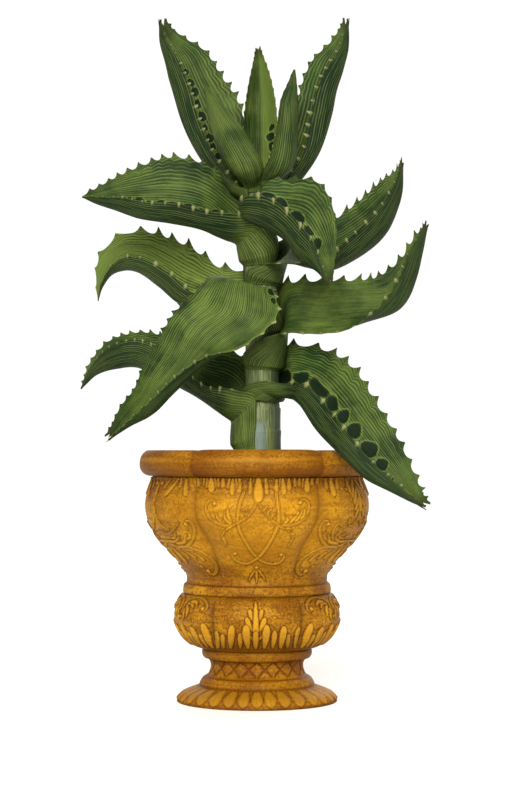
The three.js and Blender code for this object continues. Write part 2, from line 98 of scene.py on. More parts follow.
# Ornament of the pot, drawn on the flattened wall: across from the middle of a lobe along
# the wall, and height above the floor.
# Each stroke is (shape, half width at its start, half width at its end, height, points).
FRONT_BELLY = [
    ("band", 1.5, 1.3, 2.0, [(-12.3, 211), (-16.6, 198.8), (-18.3, 184.6), (-16.6, 175),
                             (-12.8, 166.7), (-7.6, 157.4), (-1.9, 149.7), (4.8, 143.9),
                             (11.3, 141.6), (17.4, 141.3), (22.3, 142.6), (25.9, 146.7),
                             (26.2, 149.7), (23.9, 151.2)]),
    ("bead", 2.0, 2.0, 2.0, [(23.0, 150.2)]),
    ("band", 1.4, 1.5, 2.3, [(18.2, 210.5), (20.4, 193.1), (20, 180.1), (17.6, 173),
                             (13.3, 164.5), (8.1, 155.9), (2.4, 148.6)]),
    ("band", 1.5, 1.3, 1.9, [(0.5, 146.9), (-6.7, 142.4), (-13, 141.6), (-18.9, 143.8),
                             (-23.3, 147.7), (-23.7, 151.3), (-21.6, 152.4)]),
    ("bead", 2.0, 2.0, 2.0, [(-21.0, 151.4)]),
    ("band", 1.1, 1.3, 1.5, [(0.6, 202.5), (-3.3, 195), (-9.5, 187.5), (-17.1, 182.3),
                             (-22.4, 179.8)]),
    ("band", 1.1, 1.4, 1.5, [(1, 202.5), (4.2, 196), (10, 188.9), (17.7, 181.2),
                             (22.9, 178.3)]),
    ("band", 0.9, 0.7, 1.2, [(-7, 188.6), (-11.3, 190.4), (-13, 193.2), (-10.6, 195),
                             (-9.2, 193)]),
    ("leaf", 1.2, 0.4, 1.2, [(10.4, 188.5), (10.8, 192), (14.8, 195.8)]),
    ("leaf", 1.2, 0.4, 1.2, [(13.3, 186), (15.6, 189.8), (19, 190.6)]),
    ("leaf", 1.2, 0.4, 1.2, [(5.4, 193.2), (8, 195.6), (10.6, 198.6)]),
    ("band", 1.5, 1.2, 1.7, [(-21.9, 179.5), (-29.7, 178.9), (-36.3, 180.6), (-43.3, 183.8),
                             (-49, 189), (-51.1, 195.2), (-49.5, 200.4), (-45.8, 203.3),
                             (-41.9, 202.6)]),
    ("bead", 2.1, 2.1, 2.0, [(-41.4, 200.2)]),
    ("band", 1.5, 1.2, 1.7, [(24.8, 179.3), (33.7, 179.8), (41.7, 182.4), (48.5, 187.6),
                             (52.1, 194.7), (51.6, 200.4), (47.4, 203.5), (43.2, 203.1)]),
    ("bead", 2.0, 2.0, 1.9, [(42.2, 200.8)]),
    ("leaf", 1.7, 0.4, 1.7, [(-24, 181), (-27.4, 188.3), (-28.1, 196.4)]),
    ("leaf", 1.5, 0.4, 1.6, [(-25.4, 180.8), (-30.6, 185.8), (-32, 191.8)]),
    ("leaf", 1.3, 0.4, 1.4, [(-34, 182), (-38.3, 186), (-39.6, 191.2)]),
    ("leaf", 1.2, 0.4, 1.3, [(-41.2, 185), (-43.6, 188.4), (-43.5, 192)]),
    ("leaf", 1.4, 0.5, 1.5, [(-23.2, 178.6), (-29, 175.4), (-33, 171.4)]),
    ("leaf", 1.3, 0.4, 1.4, [(-31, 174), (-33.8, 169.4), (-33.6, 164)]),
    ("leaf", 1.4, 0.4, 1.5, [(-32.9, 168), (-31.2, 163.4), (-29.8, 158.4)]),
    ("leaf", 1.4, 0.4, 1.5, [(25.6, 181), (29.4, 184.4), (27.4, 189)]),
    ("leaf", 1.6, 0.4, 1.7, [(31.7, 181.6), (37.2, 186.6), (41.7, 193.4)]),
    ("leaf", 1.5, 0.4, 1.6, [(37, 183), (42.2, 188), (44.7, 194.6)]),
    ("leaf", 1.4, 0.4, 1.5, [(42.4, 185), (46.8, 190), (46.8, 196.2)]),
    ("band", 1.3, 0.8, 1.5, [(21.9, 177.8), (27.8, 175.8), (31.8, 172.9), (34.7, 168),
                             (33, 163.1), (30.1, 157.6)]),
    ("leaf", 1.1, 0.4, 1.3, [(27.4, 176), (31, 176.4), (34.6, 174.4)]),
    ("leaf", 1.1, 0.4, 1.3, [(31.8, 172), (35, 170.6), (36.8, 166.8)]),
    ("bead", 2.2, 2.2, 2.0, [(-0.3, 137.6)]),
    ("leaf", 1.3, 0.4, 1.6, [(-1.4, 135.3), (-4.9, 130.4), (-8, 124)]),
    ("leaf", 1.3, 0.4, 1.6, [(-0.3, 135.3), (-0.3, 129.3), (-0.3, 122)]),
    ("leaf", 1.3, 0.4, 1.6, [(1, 135.3), (4.8, 130.4), (8.7, 124)]),
    ("band", 0.9, 0.8, 1.2, [(-15.0, 211.9), (-14.6, 218.0), (-10.9, 221.3), (-7.2, 218.5)]),
    ("band", 0.9, 0.8, 1.2, [(9.3, 212.9), (9.5, 218.5), (12.8, 221.8), (16.5, 218.0)]),
    ("bud", 1.8, 0.9, 1.6, [(-5.7, 225), (-6.3, 216.6), (-6.8, 208.2)]),
    ("bud", 2.1, 0.9, 1.5, [(8.1, 225), (8.8, 216.6), (9.5, 208.2)]),
    ("bud", 2.6, 1.2, 1.8, [(-16.6, 223.2), (-16.9, 216.6), (-17.3, 210.5)]),
    ("bud", 1.7, 0.9, 1.5, [(-20, 224), (-20, 218.5), (-20.4, 213.3)]),
    ("bud", 2.1, 0.9, 1.6, [(-26.3, 224), (-26.8, 218.4), (-27.6, 213.3)]),
    ("bud", 2.3, 0.9, 1.8, [(-23, 223.2), (-23.3, 215.6), (-24, 207.7)]),
    ("bud", 2.3, 1.0, 1.6, [(-32.3, 224), (-32.8, 219.4), (-33.7, 215.1)]),
    ("bud", 2.0, 0.9, 1.5, [(-37.3, 224), (-37.7, 219.3), (-38.2, 215.1)]),
    ("bud", 2.0, 0.9, 1.5, [(-41, 224), (-41, 218.4), (-41.2, 213.7)]),
    ("bud", 2.0, 0.9, 1.5, [(-52.1, 224), (-52.5, 220.2), (-53, 216.4)]),
    ("bud", 2.2, 0.9, 1.6, [(-48.7, 224), (-48.9, 218.3), (-49.2, 213.6)]),
    ("bud", 3.2, 1.3, 2.1, [(-44.6, 225), (-44.7, 217.4), (-44.7, 209.9)]),
    ("bud", 2.1, 0.9, 1.5, [(-59.6, 224), (-59.9, 219.6), (-60.4, 215.4)]),
    ("bud", 2.5, 1.1, 1.8, [(18.7, 222.2), (18.6, 216.6), (18.6, 211.4)]),
    ("bud", 1.8, 0.9, 1.5, [(22, 224), (22.5, 218.5), (23.1, 212.8)]),
    ("bud", 2.5, 0.9, 1.9, [(24.4, 224), (25.3, 216.1), (25.8, 208.1)]),
    ("bud", 2.4, 1.0, 1.7, [(30.5, 224), (30.8, 218.4), (30.9, 212.3)]),
    ("bud", 2.2, 0.9, 1.5, [(36.3, 224), (36.9, 219.8), (37.4, 215.6)]),
    ("bud", 2.2, 0.9, 1.5, [(41, 224), (41.4, 219.8), (41.7, 215.5)]),
    ("bud", 1.9, 0.9, 1.5, [(45.2, 224), (45.4, 219.3), (45.4, 215)]),
    ("bud", 2.2, 0.9, 1.6, [(55, 224), (55.3, 220.2), (55.4, 216.4)]),
    ("bud", 3.0, 1.2, 2.1, [(49.1, 225), (49.6, 217.4), (49.8, 210)]),
    ("bud", 2.0, 0.9, 1.4, [(61.5, 224), (61.8, 220.6), (61.9, 217.3)]),
    ("bud", 4.4, 1.6, 2.4, [(1.4, 226), (1.4, 213.8), (1.4, 201.2)]),
]
HUSK_CHAIN = [
    ("bead", 2.3, 2.3, 1.7, [(5.5, 218.6)]),
    ("bud", 2.0, 0.9, 1.5, [(0, 217), (0, 211.6), (0, 206)]),
    ("bud", 1.9, 0.9, 1.5, [(0, 205.6), (0, 202.6), (0, 199.4)]),
    ("bud", 1.6, 0.8, 1.4, [(0, 198.6), (0, 196), (0, 192.8)]),
    ("bud", 1.7, 0.9, 1.4, [(18.2, 222.6), (14.5, 217.8), (12.8, 212.9)]),
    ("bud", 2.3, 0.9, 1.7, [(30, 223), (24, 214), (17.6, 206)]),
    ("bud", 1.9, 0.9, 1.5, [(33.6, 223.8), (34.4, 219), (35.4, 214.2)]),
    ("bud", 2.4, 0.9, 1.7, [(40, 223), (42.4, 215.3), (46, 206.7)]),
    ("band", 1.6, 0.6, 1.9, [(1.2, 195), (2.2, 187.6), (5.6, 180.6), (11.6, 175.6),
                             (19.4, 173.2), (28.8, 175.2), (36.6, 181)]),
    ("band", 1.3, 0.5, 1.5, [(0.8, 171), (10.1, 169.6), (21, 171.4), (32.6, 178)]),
]
LEAF_FRINGE = [
    ("bud", 1.9, 0.9, 1.5, [(42.6, 223), (43.4, 218.1), (45, 213.4)]),
    ("bud", 2.0, 0.9, 1.5, [(28.4, 223), (30, 218), (31.6, 213.4)]),
    ("bud", 2.9, 0.9, 1.9, [(36, 224), (37.6, 215.2), (39.6, 206.2)]),
    ("bead", 1.7, 1.7, 1.4, [(26.4, 213.2)]),
    ("bead", 1.9, 1.9, 1.4, [(19.4, 212.6)]),
    ("bud", 2.2, 0.9, 1.7, [(14, 223), (14.4, 214.6), (13, 206.6)]),
    ("bud", 2.3, 0.9, 1.7, [(3, 222), (9, 212), (12.4, 203.4)]),
    ("bud", 2.2, 0.9, 1.7, [(2, 214), (7.6, 206), (10.6, 198)]),
    ("bud", 2.2, 0.9, 1.7, [(1.4, 206), (6.4, 199), (9.4, 191.6)]),
    ("bud", 2.0, 0.9, 1.6, [(1, 198), (5.4, 192), (8.4, 186.4)]),
    ("bud", 2.6, 1.1, 1.9, [(0, 216), (0, 204), (0, 190)]),
    ("band", 1.4, 0.9, 1.7, [(0.6, 189), (2.6, 182.6), (7.4, 178.6), (12.8, 177.4),
                             (17, 179.6), (17.6, 183.4), (14.6, 184.6)]),
    ("band", 1.5, 1.1, 1.8, [(2, 156.8), (12.8, 158.2), (23.8, 162), (31.7, 167.7),
                             (34.6, 173.2), (33.4, 178.4), (29.4, 179.8), (26.6, 177.4)]),
    ("leaf", 1.6, 0.4, 1.5, [(26.2, 164), (25.6, 170), (21.6, 174)]),
    ("leaf", 1.5, 0.4, 1.5, [(20, 161.6), (19, 167), (14.6, 170.4)]),
    ("leaf", 1.5, 0.4, 1.5, [(12.6, 160), (11, 165), (6, 168)]),
]
SIDE_SCROLLS = [
    ("band", 1.7, 1.2, 1.9, [(0.8, 161.6), (11, 157.4), (22.6, 156.6), (33.4, 159.4),
                             (43.1, 165.3), (49.8, 172.8), (51.2, 179.6), (48.2, 183),
                             (44.6, 182.2)]),
    ("bead", 2.1, 2.1, 2.0, [(44.0, 179.6)]),
    ("leaf", 1.8, 0.5, 1.6, [(2.1, 162.4), (17.1, 162), (30, 168)]),
    ("leaf", 1.8, 0.5, 1.6, [(17, 160), (30, 162), (38.6, 170)]),
    ("leaf", 1.4, 0.5, 1.4, [(12, 164.8), (20, 166), (26.6, 171.4)]),
    ("leaf", 1.3, 0.4, 1.4, [(36, 164), (42, 168), (43.4, 174)]),
    ("band", 1.6, 1.4, 1.9, [(14, 156), (24, 157.4), (34, 156), (41.2, 152), (44.2, 146),
                             (43.2, 139.4), (39, 133.6), (33.4, 129.8), (29.2, 130.6)]),
    ("bead", 2.4, 2.4, 2.2, [(29.8, 133.0)]),
    ("bud", 1.7, 0.8, 1.5, [(15, 152), (16.6, 148.6), (18, 144.6)]),
    ("bud", 1.7, 0.8, 1.5, [(23.4, 152), (25.6, 148.4), (26.2, 144.4)]),
    ("bud", 1.7, 0.8, 1.5, [(32.4, 151), (34.4, 146.6), (34, 142.4)]),
    ("bead", 2.0, 2.0, 1.6, [(25.4, 137.6)]),
    ("bud", 2.2, 0.8, 1.7, [(4.4, 155), (6, 147.6), (6.6, 139.6)]),
]
FRONT_BULGE = [
    ("bud", 2.7, 1.1, 2.0, [(-33.8, 58.5), (-34.6, 66.2), (-34.8, 73.4)]),
    ("bud", 2.6, 1.1, 2.0, [(-16.2, 59.3), (-16.1, 66.8), (-16, 75)]),
    ("bud", 2.7, 1.1, 2.1, [(15, 59.3), (16.5, 68.9), (17.4, 77.4)]),
    ("bud", 2.6, 1.1, 2.0, [(30.1, 58.7), (30.8, 66.3), (31.2, 73.5)]),
    ("bud", 2.1, 0.9, 2.0, [(-3.1, 85.9), (-5.8, 91.6), (-7.1, 98.2)]),
    ("bud", 2.1, 0.9, 2.0, [(0.8, 85.9), (3.5, 91.7), (4.8, 98.2)]),
    ("bud", 2.5, 1.0, 2.1, [(-3.3, 76.1), (-7.3, 82), (-10, 90.1)]),
    ("bud", 2.5, 1.0, 2.1, [(1, 76.1), (5.2, 82), (7.7, 90.1)]),
    ("bud", 2.5, 1.0, 2.1, [(-4, 68), (-9, 73.5), (-12.9, 81.6)]),
    ("bud", 2.5, 1.0, 2.1, [(1.7, 68), (6.7, 73.5), (10.6, 81.6)]),
    ("petal", 3.0, 0.8, 2.6, [(-1.2, 62), (-1.1, 87.9), (-1.2, 105.6)]),
    ("bud", 2.7, 1.1, 2.2, [(-1.2, 58.4), (-1.2, 67), (-1.2, 77.1)]),
    ("bud", 3.6, 1.6, 2.6, [(-8.6, 59.4), (-10, 71), (-10.6, 83)]),
    ("bud", 3.4, 1.5, 2.6, [(7, 59.5), (8.7, 71), (9.6, 83)]),
    ("bud", 3.5, 1.5, 2.5, [(-25.8, 58.9), (-25.3, 70.7), (-24.3, 82.3)]),
    ("bud", 3.4, 1.5, 2.6, [(22.8, 59.1), (25.1, 70.7), (26.8, 81.7)]),
    ("bud", 3.2, 1.4, 2.4, [(-40.6, 58.2), (-41.6, 66.2), (-42.8, 76)]),
    ("bud", 3.0, 1.3, 2.3, [(39, 58.2), (41.7, 69.9), (44.3, 80)]),
]
SIDE_BULGE = [
    ("bud", 3.0, 1.2, 2.0, [(6.6, 58.4), (8, 66), (8.4, 73)]),
    ("bud", 3.0, 1.2, 2.0, [(20, 58.4), (23, 65), (24.4, 72)]),
    ("bud", 3.6, 1.5, 2.3, [(0, 58.4), (0, 70), (0, 80)]),
    ("bud", 3.6, 1.5, 2.4, [(13, 58.4), (16, 70), (16.6, 79)]),
    ("bud", 3.8, 1.6, 2.5, [(26, 58.4), (31.6, 71), (33.4, 83)]),
    ("band", 1.6, 1.2, 1.8, [(8, 92), (3.2, 97), (4.4, 103.4), (12.7, 106.8), (23.5, 106.6),
                             (32.2, 102.8), (35.6, 97.6), (32.4, 94.6)]),
    ("bead", 2.2, 2.2, 1.9, [(31.2, 97)]),
    ("leaf", 2.1, 0.6, 1.8, [(8.4, 100.6), (14.4, 101), (19.4, 96.6)]),
    ("leaf", 1.9, 0.6, 1.7, [(12, 103), (18.4, 103), (24, 99)]),
    ("leaf", 2.0, 0.6, 1.8, [(8.4, 99), (11.6, 94), (10.8, 88)]),
    ("leaf", 1.8, 0.6, 1.6, [(5.4, 96), (5.8, 90), (4, 84.4)]),
    ("bead", 1.8, 1.8, 1.5, [(0, 88)]),
]
TRELLIS_COUNT = 18
TRELLIS_LOW = 27.6
TRELLIS_HIGH = 43.2
TRELLIS_WIDTH = 0.95
TRELLIS_DEPTH = 1.6
FOOT_TOP = 16.6
FOOT_LEAVES = 32
FOOT_LEAF_LENGTH = 14.4
FOOT_LEAF_HEIGHT = 2.0
RIM_LINE_LEVEL = 223.4
RIM_LINE_HEIGHT = 1.2

# The soil: its sides as (radius, height), and how its top climbs from the edge.
SOIL_COLUMNS = 220
SOIL_SIDES = [
    (44, CAVITY_FLOOR + 0.4), (66, 68), (72, 85), (69, 105), (61, 125), (77, 150), (95, 172),
    (101, 190), (101, 205), (96, 217), (102.2, 229.4),
]
SOIL_EDGE = 231.5
SOIL_RISE = 6.5

# The stem: height, radius, sideways drift of its centre.
STEM = np.array([
    [208, 24.0, 0.5], [240, 23.6, 0.8], [262, 22.6, 1.0], [290, 19.0, 4.2], [300, 17.2, 5.0],
    [360, 16.6, 5.0], [450, 15.9, 3.0], [480, 15.6, 2.7], [505, 13.0, 2.3], [522, 8.0, 2.0],
])
LEAF_SCARS = [293.0, 271.0, 249.0]
STEM_COLUMNS = 180
STEM_STEP = 1.4

# The leaves, as in the CAD part.
# turn: the side of the stem that the leaf leaves from, in degrees from +X towards +Y.
# sheath rows: half angle of the wrap, heights at the keel, left and right margins, flare.
# blade rows: left margin, keel and right margin of the inner face, from the base to the tip.
# swing: how far the blade is carried towards the back for each millimetre of its reach.
# near: the margin towards the viewer, -1 left and 1 right. far_teeth and near_teeth: the
# distance between teeth and their height on each margin.
# pits: the hollows between the near teeth, sunk a little and dark with painted shadow, as the
# shares of the blade where they start and end, their width and the width of the pale strip outside
# them.
# panel: the place across the blade, from -1 to 1, past which all of the inner face is pale.
# fray: how far the worn fibres stand out of the tip. tone: the painted light and shade of the
# inner face, 0 for the darkest leaf, 1 for the palest, and more where the inner face is lit.
# back: how strong the painted shade over the outer face is.
LEAVES = [
    dict(name="leaf_low_left", turn=180, swing=0.25, tone=0.8, fray=0, near=-1,
         far_teeth=(12, 6), near_teeth=(12, 2.5),
         sheath=[(84, 250, 250, 256, 0), (80, 264, 282, 290, 2), (74, 278, 303, 325, 4.5)],
         blade=[[(-24, -28, 310), (-27, -2, 288), (-16, 22, 345)],
                [(-51, -24, 314), (-50, -2, 307), (-53, 24, 352)],
                [(-91, -12, 348), (-91, -2, 327), (-90, 26, 366)],
                [(-124, -4, 362), (-123, 4, 341), (-126, 32, 371)],
                [(-152, 0, 354), (-149, 6, 338), (-155, 28, 361)],
                [(-168, 6, 338), (-165, 9, 331), (-171, 22, 342)]],
         tip=(-181, 20, 314)),
    dict(name="leaf_low_right", turn=-36, tone=0.4, fray=6, near=1,
         far_teeth=(19, 8), near_teeth=(25, 4.5), pits=(0.0, 0.9, 15, 0.5),
         sheath=[(172, 299, 300, 298, 0), (150, 301, 330, 309, 2), (80, 304, 350, 317, 4.5)],
         blade=[[(33, -2, 355), (33, -30, 310), (27, -31, 316)],
                [(65, -28, 349), (46, -48, 303), (46, -58, 314)],
                [(94, -54, 329), (64, -74, 276), (70, -84, 288)],
                [(115, -78, 294), (86, -98, 252), (86, -108, 266)],
                [(134, -95, 261), (108, -110, 230), (109, -120, 238)],
                [(148, -110, 229), (131, -118, 214), (130, -126, 220)]],
         tip=(154, -128, 198)),
    dict(name="leaf_mid_right", turn=-10, tone=0.7, fray=4, near=1,
         far_teeth=(19, 8), near_teeth=(21, 5),
         sheath=[(172, 330, 336, 332, 0), (150, 336, 385, 346, 2), (80, 352, 410, 360, 4.5)],
         blade=[[(29, 2, 417), (30, -10, 388), (28, -34, 366)],
                [(67, -16, 418), (65, -20, 389), (62, -46, 365)],
                [(98, -22, 418), (93, -26, 390), (89, -52, 369)],
                [(124, -26, 424), (137, -34, 396), (125, -54, 397)],
                [(143, -26, 440), (152, -36, 422), (141, -50, 424)],
                [(154, -28, 458), (159, -36, 443), (149, -44, 442)]],
         tip=(167, -36, 469)),
    dict(name="leaf_front_left", turn=-115, flesh=7, tone=0.6, fray=6, near=-1,
         far_teeth=(15, 5), near_teeth=(15, 5), pits=(0.02, 0.3, 7, 0.5),
         sheath=[(165, 364, 364, 364, 0), (130, 370, 374, 378, 2), (80, 388, 392, 400, 4.5)],
         blade=[[(16, -38, 408), (-13, -46, 415), (-40, -24, 423)],
                [(18, -56, 379), (-20, -64, 382), (-65, -46, 400)],
                [(-15, -76, 350), (-47, -63, 361), (-82, -60, 381)],
                [(-50, -94, 339), (-66, -78, 335), (-96, -78, 353)],
                [(-78, -108, 319), (-88, -94, 309), (-108, -92, 331)],
                [(-101, -120, 296), (-106, -108, 288), (-116, -108, 308)],
                [(-119, -128, 279), (-122, -121, 277), (-128, -120, 291)]],
         tip=(-137, -134, 262)),
    dict(name="leaf_mid_left", turn=165, swing=0.35, tone=1.6, fray=0, near=-1,
         far_teeth=(24, 9), near_teeth=(19, 5),
         sheath=[(120, 392, 392, 392, 0), (110, 396, 402, 406, 2), (80, 400, 408, 422, 4.5)],
         blade=[[(-51, -14, 404), (-45, 2, 400), (-35, 18, 433)],
                [(-69, -12, 411), (-76, 6, 408), (-64, 26, 454)],
                [(-89, -10, 429), (-96, 10, 424), (-86, 32, 466)],
                [(-120, -6, 445), (-121, 14, 441), (-114, 36, 475)],
                [(-136, -2, 446), (-138, 16, 443), (-140, 38, 474)],
                [(-151, 4, 437), (-155, 20, 435), (-162, 36, 455)],
                [(-161, 14, 422), (-163, 22, 421), (-167, 30, 436)]],
         tip=(-165, 24, 405)),
    dict(name="leaf_high_right", turn=10, swing=0.25, tone=0.4, fray=4, near=1,
         far_teeth=(17, 7.5), near_teeth=(17, 4),
         sheath=[(170, 414, 416, 416, 0), (140, 418, 438, 430, 2), (95, 428, 455, 434, 4.5)],
         blade=[[(30, 16, 462), (33, -8, 450), (20, -38, 434)],
                [(52, 13, 470), (52, -8, 443), (46, -34, 436)],
                [(73, 12, 480), (72, -6, 440), (67, -28, 440)],
                [(96, 14, 497), (98, -4, 451), (87, -24, 457)],
                [(115, 18, 514), (123, 2, 471), (109, -18, 478)],
                [(131, 22, 529), (138, 6, 496), (128, -10, 500)],
                [(141, 22, 536), (145, 8, 514), (139, 0, 520)]],
         tip=(149, 14, 541)),
    dict(name="leaf_high_left", turn=195, tone=0.4, fray=0, near=-1,
         far_teeth=(15, 7.5), near_teeth=(15, 3), pits=(0.1, 0.88, 6, 1),
         sheath=[(170, 434, 436, 436, 0), (150, 442, 458, 452, 2), (90, 456, 482, 500, 4.5)],
         blade=[[(-20, -32, 484), (-30, -6, 466), (-28, 12, 520)],
                [(-49, -38, 485), (-54, -14, 479), (-51, 4, 536)],
                [(-79, -40, 492), (-84, -16, 485), (-85, 0, 543)],
                [(-109, -38, 494), (-116, -16, 489), (-115, -4, 534)],
                [(-133, -34, 499), (-141, -18, 494), (-140, -10, 522)],
                [(-152, -28, 500), (-158, -20, 497), (-157, -14, 512)]],
         tip=(-173, -22, 501)),
    dict(name="leaf_front_right", turn=-70, tone=0.5, fray=3, near=1,
         far_teeth=(17, 5), near_teeth=(19, 4), pits=(0.0, 0.88, 10.5, 0.5),
         sheath=[(120, 470, 470, 470, 0), (100, 473, 480, 480, 2), (75, 476, 498, 494, 4.5)],
         blade=[[(5, -28, 513), (-4, -36, 480), (-17, -32, 497)],
                [(32, -36, 516), (18, -46, 470), (5, -62, 497)],
                [(57, -46, 513), (36, -56, 458), (25, -72, 485)],
                [(71, -54, 494), (47, -64, 441), (42, -80, 466)],
                [(76, -62, 469), (56, -73, 431), (54, -86, 449)],
                [(76, -70, 442), (63, -79, 422), (61, -86, 431)]],
         tip=(68, -84, 409)),
    dict(name="leaf_top_left", turn=150, tone=0.45, fray=6, near=-1,
         far_teeth=(17, 7), near_teeth=(15, 5), pits=(0.2, 0.85, 8, 1),
         sheath=[(70, 498, 498, 498, 0), (68, 502, 506, 506, 1)],
         blade=[[(-20, 2, 516), (-22, 14, 512), (-6, 24, 520)],
                [(-45, 10, 550), (-49, 26, 550), (-8, 34, 564)],
                [(-59, 14, 585), (-67, 34, 587), (-20, 42, 607)],
                [(-69, 18, 618), (-78, 36, 620), (-36, 46, 632)],
                [(-81, 24, 647), (-87, 38, 648), (-55, 46, 660)],
                [(-92, 30, 667), (-95, 38, 667), (-76, 44, 673)]],
         tip=(-99, 40, 685)),
    dict(name="leaf_top_right", turn=30, tone=0.45, fray=6, near=1,
         far_teeth=(16, 6), near_teeth=(15, 6),
         sheath=[(70, 498, 498, 498, 0), (68, 502, 506, 506, 1)],
         blade=[[(10, 24, 520), (26, 14, 512), (24, 0, 516)],
                [(31, 34, 558), (55, 22, 551), (48, 6, 552)],
                [(41, 40, 602), (69, 26, 591), (55, 10, 590)],
                [(48, 44, 630), (75, 30, 620), (63, 14, 620)],
                [(59, 46, 652), (83, 34, 643), (75, 22, 642)],
                [(74, 44, 666), (89, 38, 660), (85, 30, 659)]],
         tip=(93, 40, 686)),
    dict(name="leaf_heart_back", turn=90, flesh=4, tone=0.5, fray=2, near=1,
         far_teeth=(12, 4), near_teeth=(12, 4), pits=(0.0, 0.55, 9, 2), panel=0.05,
         sheath=[(75, 507, 507, 507, 0), (70, 511, 514, 514, 1)],
         blade=[[(-14, 10, 530), (2, 24, 526), (20, 10, 530)],
                [(-14, 14, 563), (3, 28, 563), (20, 14, 566)],
                [(-11, 18, 599), (3, 30, 600), (18, 18, 601)],
                [(-7, 22, 625), (2, 30, 626), (13, 22, 627)],
                [(-3, 25, 644), (2, 29, 644), (7, 25, 646)]],
         tip=(1, 28, 657)),
    dict(name="leaf_heart_left", turn=-135, flesh=4, tone=1.15, back=0.5, fray=0, near=-1,
         far_teeth=(14, 0), near_teeth=(14, 0),
         sheath=[(50, 507, 507, 507, 0), (50, 511, 513, 513, 1)],
         blade=[[(5, -26, 534), (-12, -32, 527), (-31, -16, 535)],
                [(-7, -24, 556), (-25, -32, 551), (-41, -14, 558)],
                [(-21, -20, 577), (-35, -26, 572), (-47, -12, 577)],
                [(-36, -16, 596), (-44, -20, 593), (-50, -12, 596)]],
         tip=(-52, -10, 615)),
    dict(name="leaf_heart_right", turn=-50, flesh=4, tone=0.6, back=0.6, fray=0, near=1,
         far_teeth=(14, 2.5), near_teeth=(14, 2.5),
         sheath=[(50, 507, 507, 507, 0), (50, 511, 513, 513, 1)],
         blade=[[(36, -12, 536), (25, -32, 529), (12, -26, 537)],
                [(40, -12, 569), (31, -29, 566), (20, -24, 569)],
                [(40, -12, 599), (33, -23, 596), (25, -20, 600)],
                [(39, -13, 614), (36, -19, 613), (31, -17, 614)]],
         tip=(37, -15, 628)),
]

# Thickness in the middle of a blade, of a sheath and at a margin, and the stretches over
# which the sheath thickens to the blade, the tip thins and the foot of the sheath thins.
FLESH = 6.5
SHEATH_SKIN = 3.5
MARGIN = 0.9
BLADE_BLEND = 40
TIP_TAPER = 60
FOOT_TAPER = 10

# Width of the tip as a share of the last row's.
TIP_SPREAD = 0.05
WORN_TIP_SPREAD = 0.28

# Teeth: the share of the half blade that they leave alone, how far they lean to the tip and
# rise off the face for each millimetre that they stand out.
TOOTH_BAND = 0.78
TOOTH_LEAN = 0.45
TOOTH_RISE = 0.16
PIT_DEPTH = 1.2
PIT_ROUNDNESS = 2.2
LINE_PITCH = 2.5
LEAF_STEP = 1.1
LEAF_COLUMNS = 37
SMALL_LEAF_COLUMNS = 29
FIRST_SEED = 40
FRAY_PATTERN = [0.7, -0.4, 0.5, -0.6, 1.0, -0.5, 0.3, -0.4, 0.8]


def smooth_step(low, high, values):
    """0 below low, 1 above high and an S-shaped rise between them."""
    share = np.clip((values - low) / (high - low), 0, 1)
    return share * share * (3 - 2 * share)


def curve_through(points, steps=8):
    """A Catmull-Rom curve: each span is the cubic through its two points whose slopes are
    half the difference of their neighbours."""
    p = np.array(points, float)
    if len(p) == 1:
        return p
    p = np.vstack([2 * p[0] - p[1], p, 2 * p[-1] - p[-2]])
    t = np.linspace(0, 1, steps, endpoint=False)[:, None, None]
    a, b, c, d = p[:-3], p[1:-2], p[2:-1], p[3:]
    line = 0.5 * (2 * b + (c - a) * t + (2 * a - 5 * b + 4 * c - d) * t**2
                  + (3 * b - a - 3 * c + d) * t**3)
    return np.vstack([line.swapaxes(0, 1).reshape(-1, p.shape[1]), p[-2]])


def even_steps(line, spacing):
    """Points at equal steps along a line of points: the length of the line, parted evenly."""
    travelled = np.r_[0, np.cumsum(np.linalg.norm(np.diff(line, axis=0), axis=1))]
    count = max(int(np.ceil(travelled[-1] / spacing)), 2)
    marks = np.linspace(0, travelled[-1], count + 1)
    return np.stack([np.interp(marks, travelled, line[:, k]) for k in range(2)], 1)


def profile_rows(curves):
    """Radius and height of the rows of a turned surface through several curves, and the
    distance of each row along the outline, the sum of the steps before it."""
    rows = [even_steps(curve_through(curve), ROW_SPACING) for curve in curves]
    joined = np.vstack([rows[0]] + [row[1:] for row in rows[1:]])
    travelled = np.r_[0, np.cumsum(np.linalg.norm(np.diff(joined, axis=0), axis=1))]
    return joined[:, 0], joined[:, 1], travelled


def make_piece(name, points, faces, node, material, marks=None):
    """A smooth-shaded mesh from points in millimetres and arrays of faces, riding on the one
    body. marks are named vectors at the points."""
    mesh = bpy.data.meshes.new(name)
    mesh.vertices.add(len(points))
    mesh.vertices.foreach_set("co", (np.asarray(points, float) * MM).ravel())
    corners = np.concatenate([np.asarray(part).ravel() for part in faces])
    sizes = np.concatenate([np.full(len(part), part.shape[1]) for part in faces])
    mesh.loops.add(len(corners))
    mesh.loops.foreach_set("vertex_index", corners.astype(np.int32))
    mesh.polygons.add(len(sizes))
    mesh.polygons.foreach_set("loop_start", (np.cumsum(sizes) - sizes).astype(np.int32))
    mesh.update(calc_edges=True)
    mesh.validate()
    mesh.shade_smooth()
    for mark, values in (marks or {}).items():
        layer = mesh.attributes.new(mark, "FLOAT_VECTOR", "POINT")
        layer.data.foreach_set("vector", np.asarray(values, np.float32).ravel())
    piece = bpy.data.objects.new(name, mesh)
    bpy.context.scene.collection.objects.link(piece)
    mesh.materials.append(material)
    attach(piece, "root")
    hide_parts(node)


def grid_faces(rows, columns, close_rows=False):
    """Quads of a grid of points stored row by row, each row a ring. A quad joins a point, the
    one beside it and the two above them; close_rows joins the last row to the first."""
    i = np.arange(rows if close_rows else rows - 1)[:, None]
    j = np.arange(columns)[None, :]
    below = i * columns
    above = ((i + 1) % rows) * columns
    beside = (j + 1) % columns
    return np.stack(np.broadcast_arrays(below + j, below + beside, above + beside, above + j),
                    -1).reshape(-1, 4)


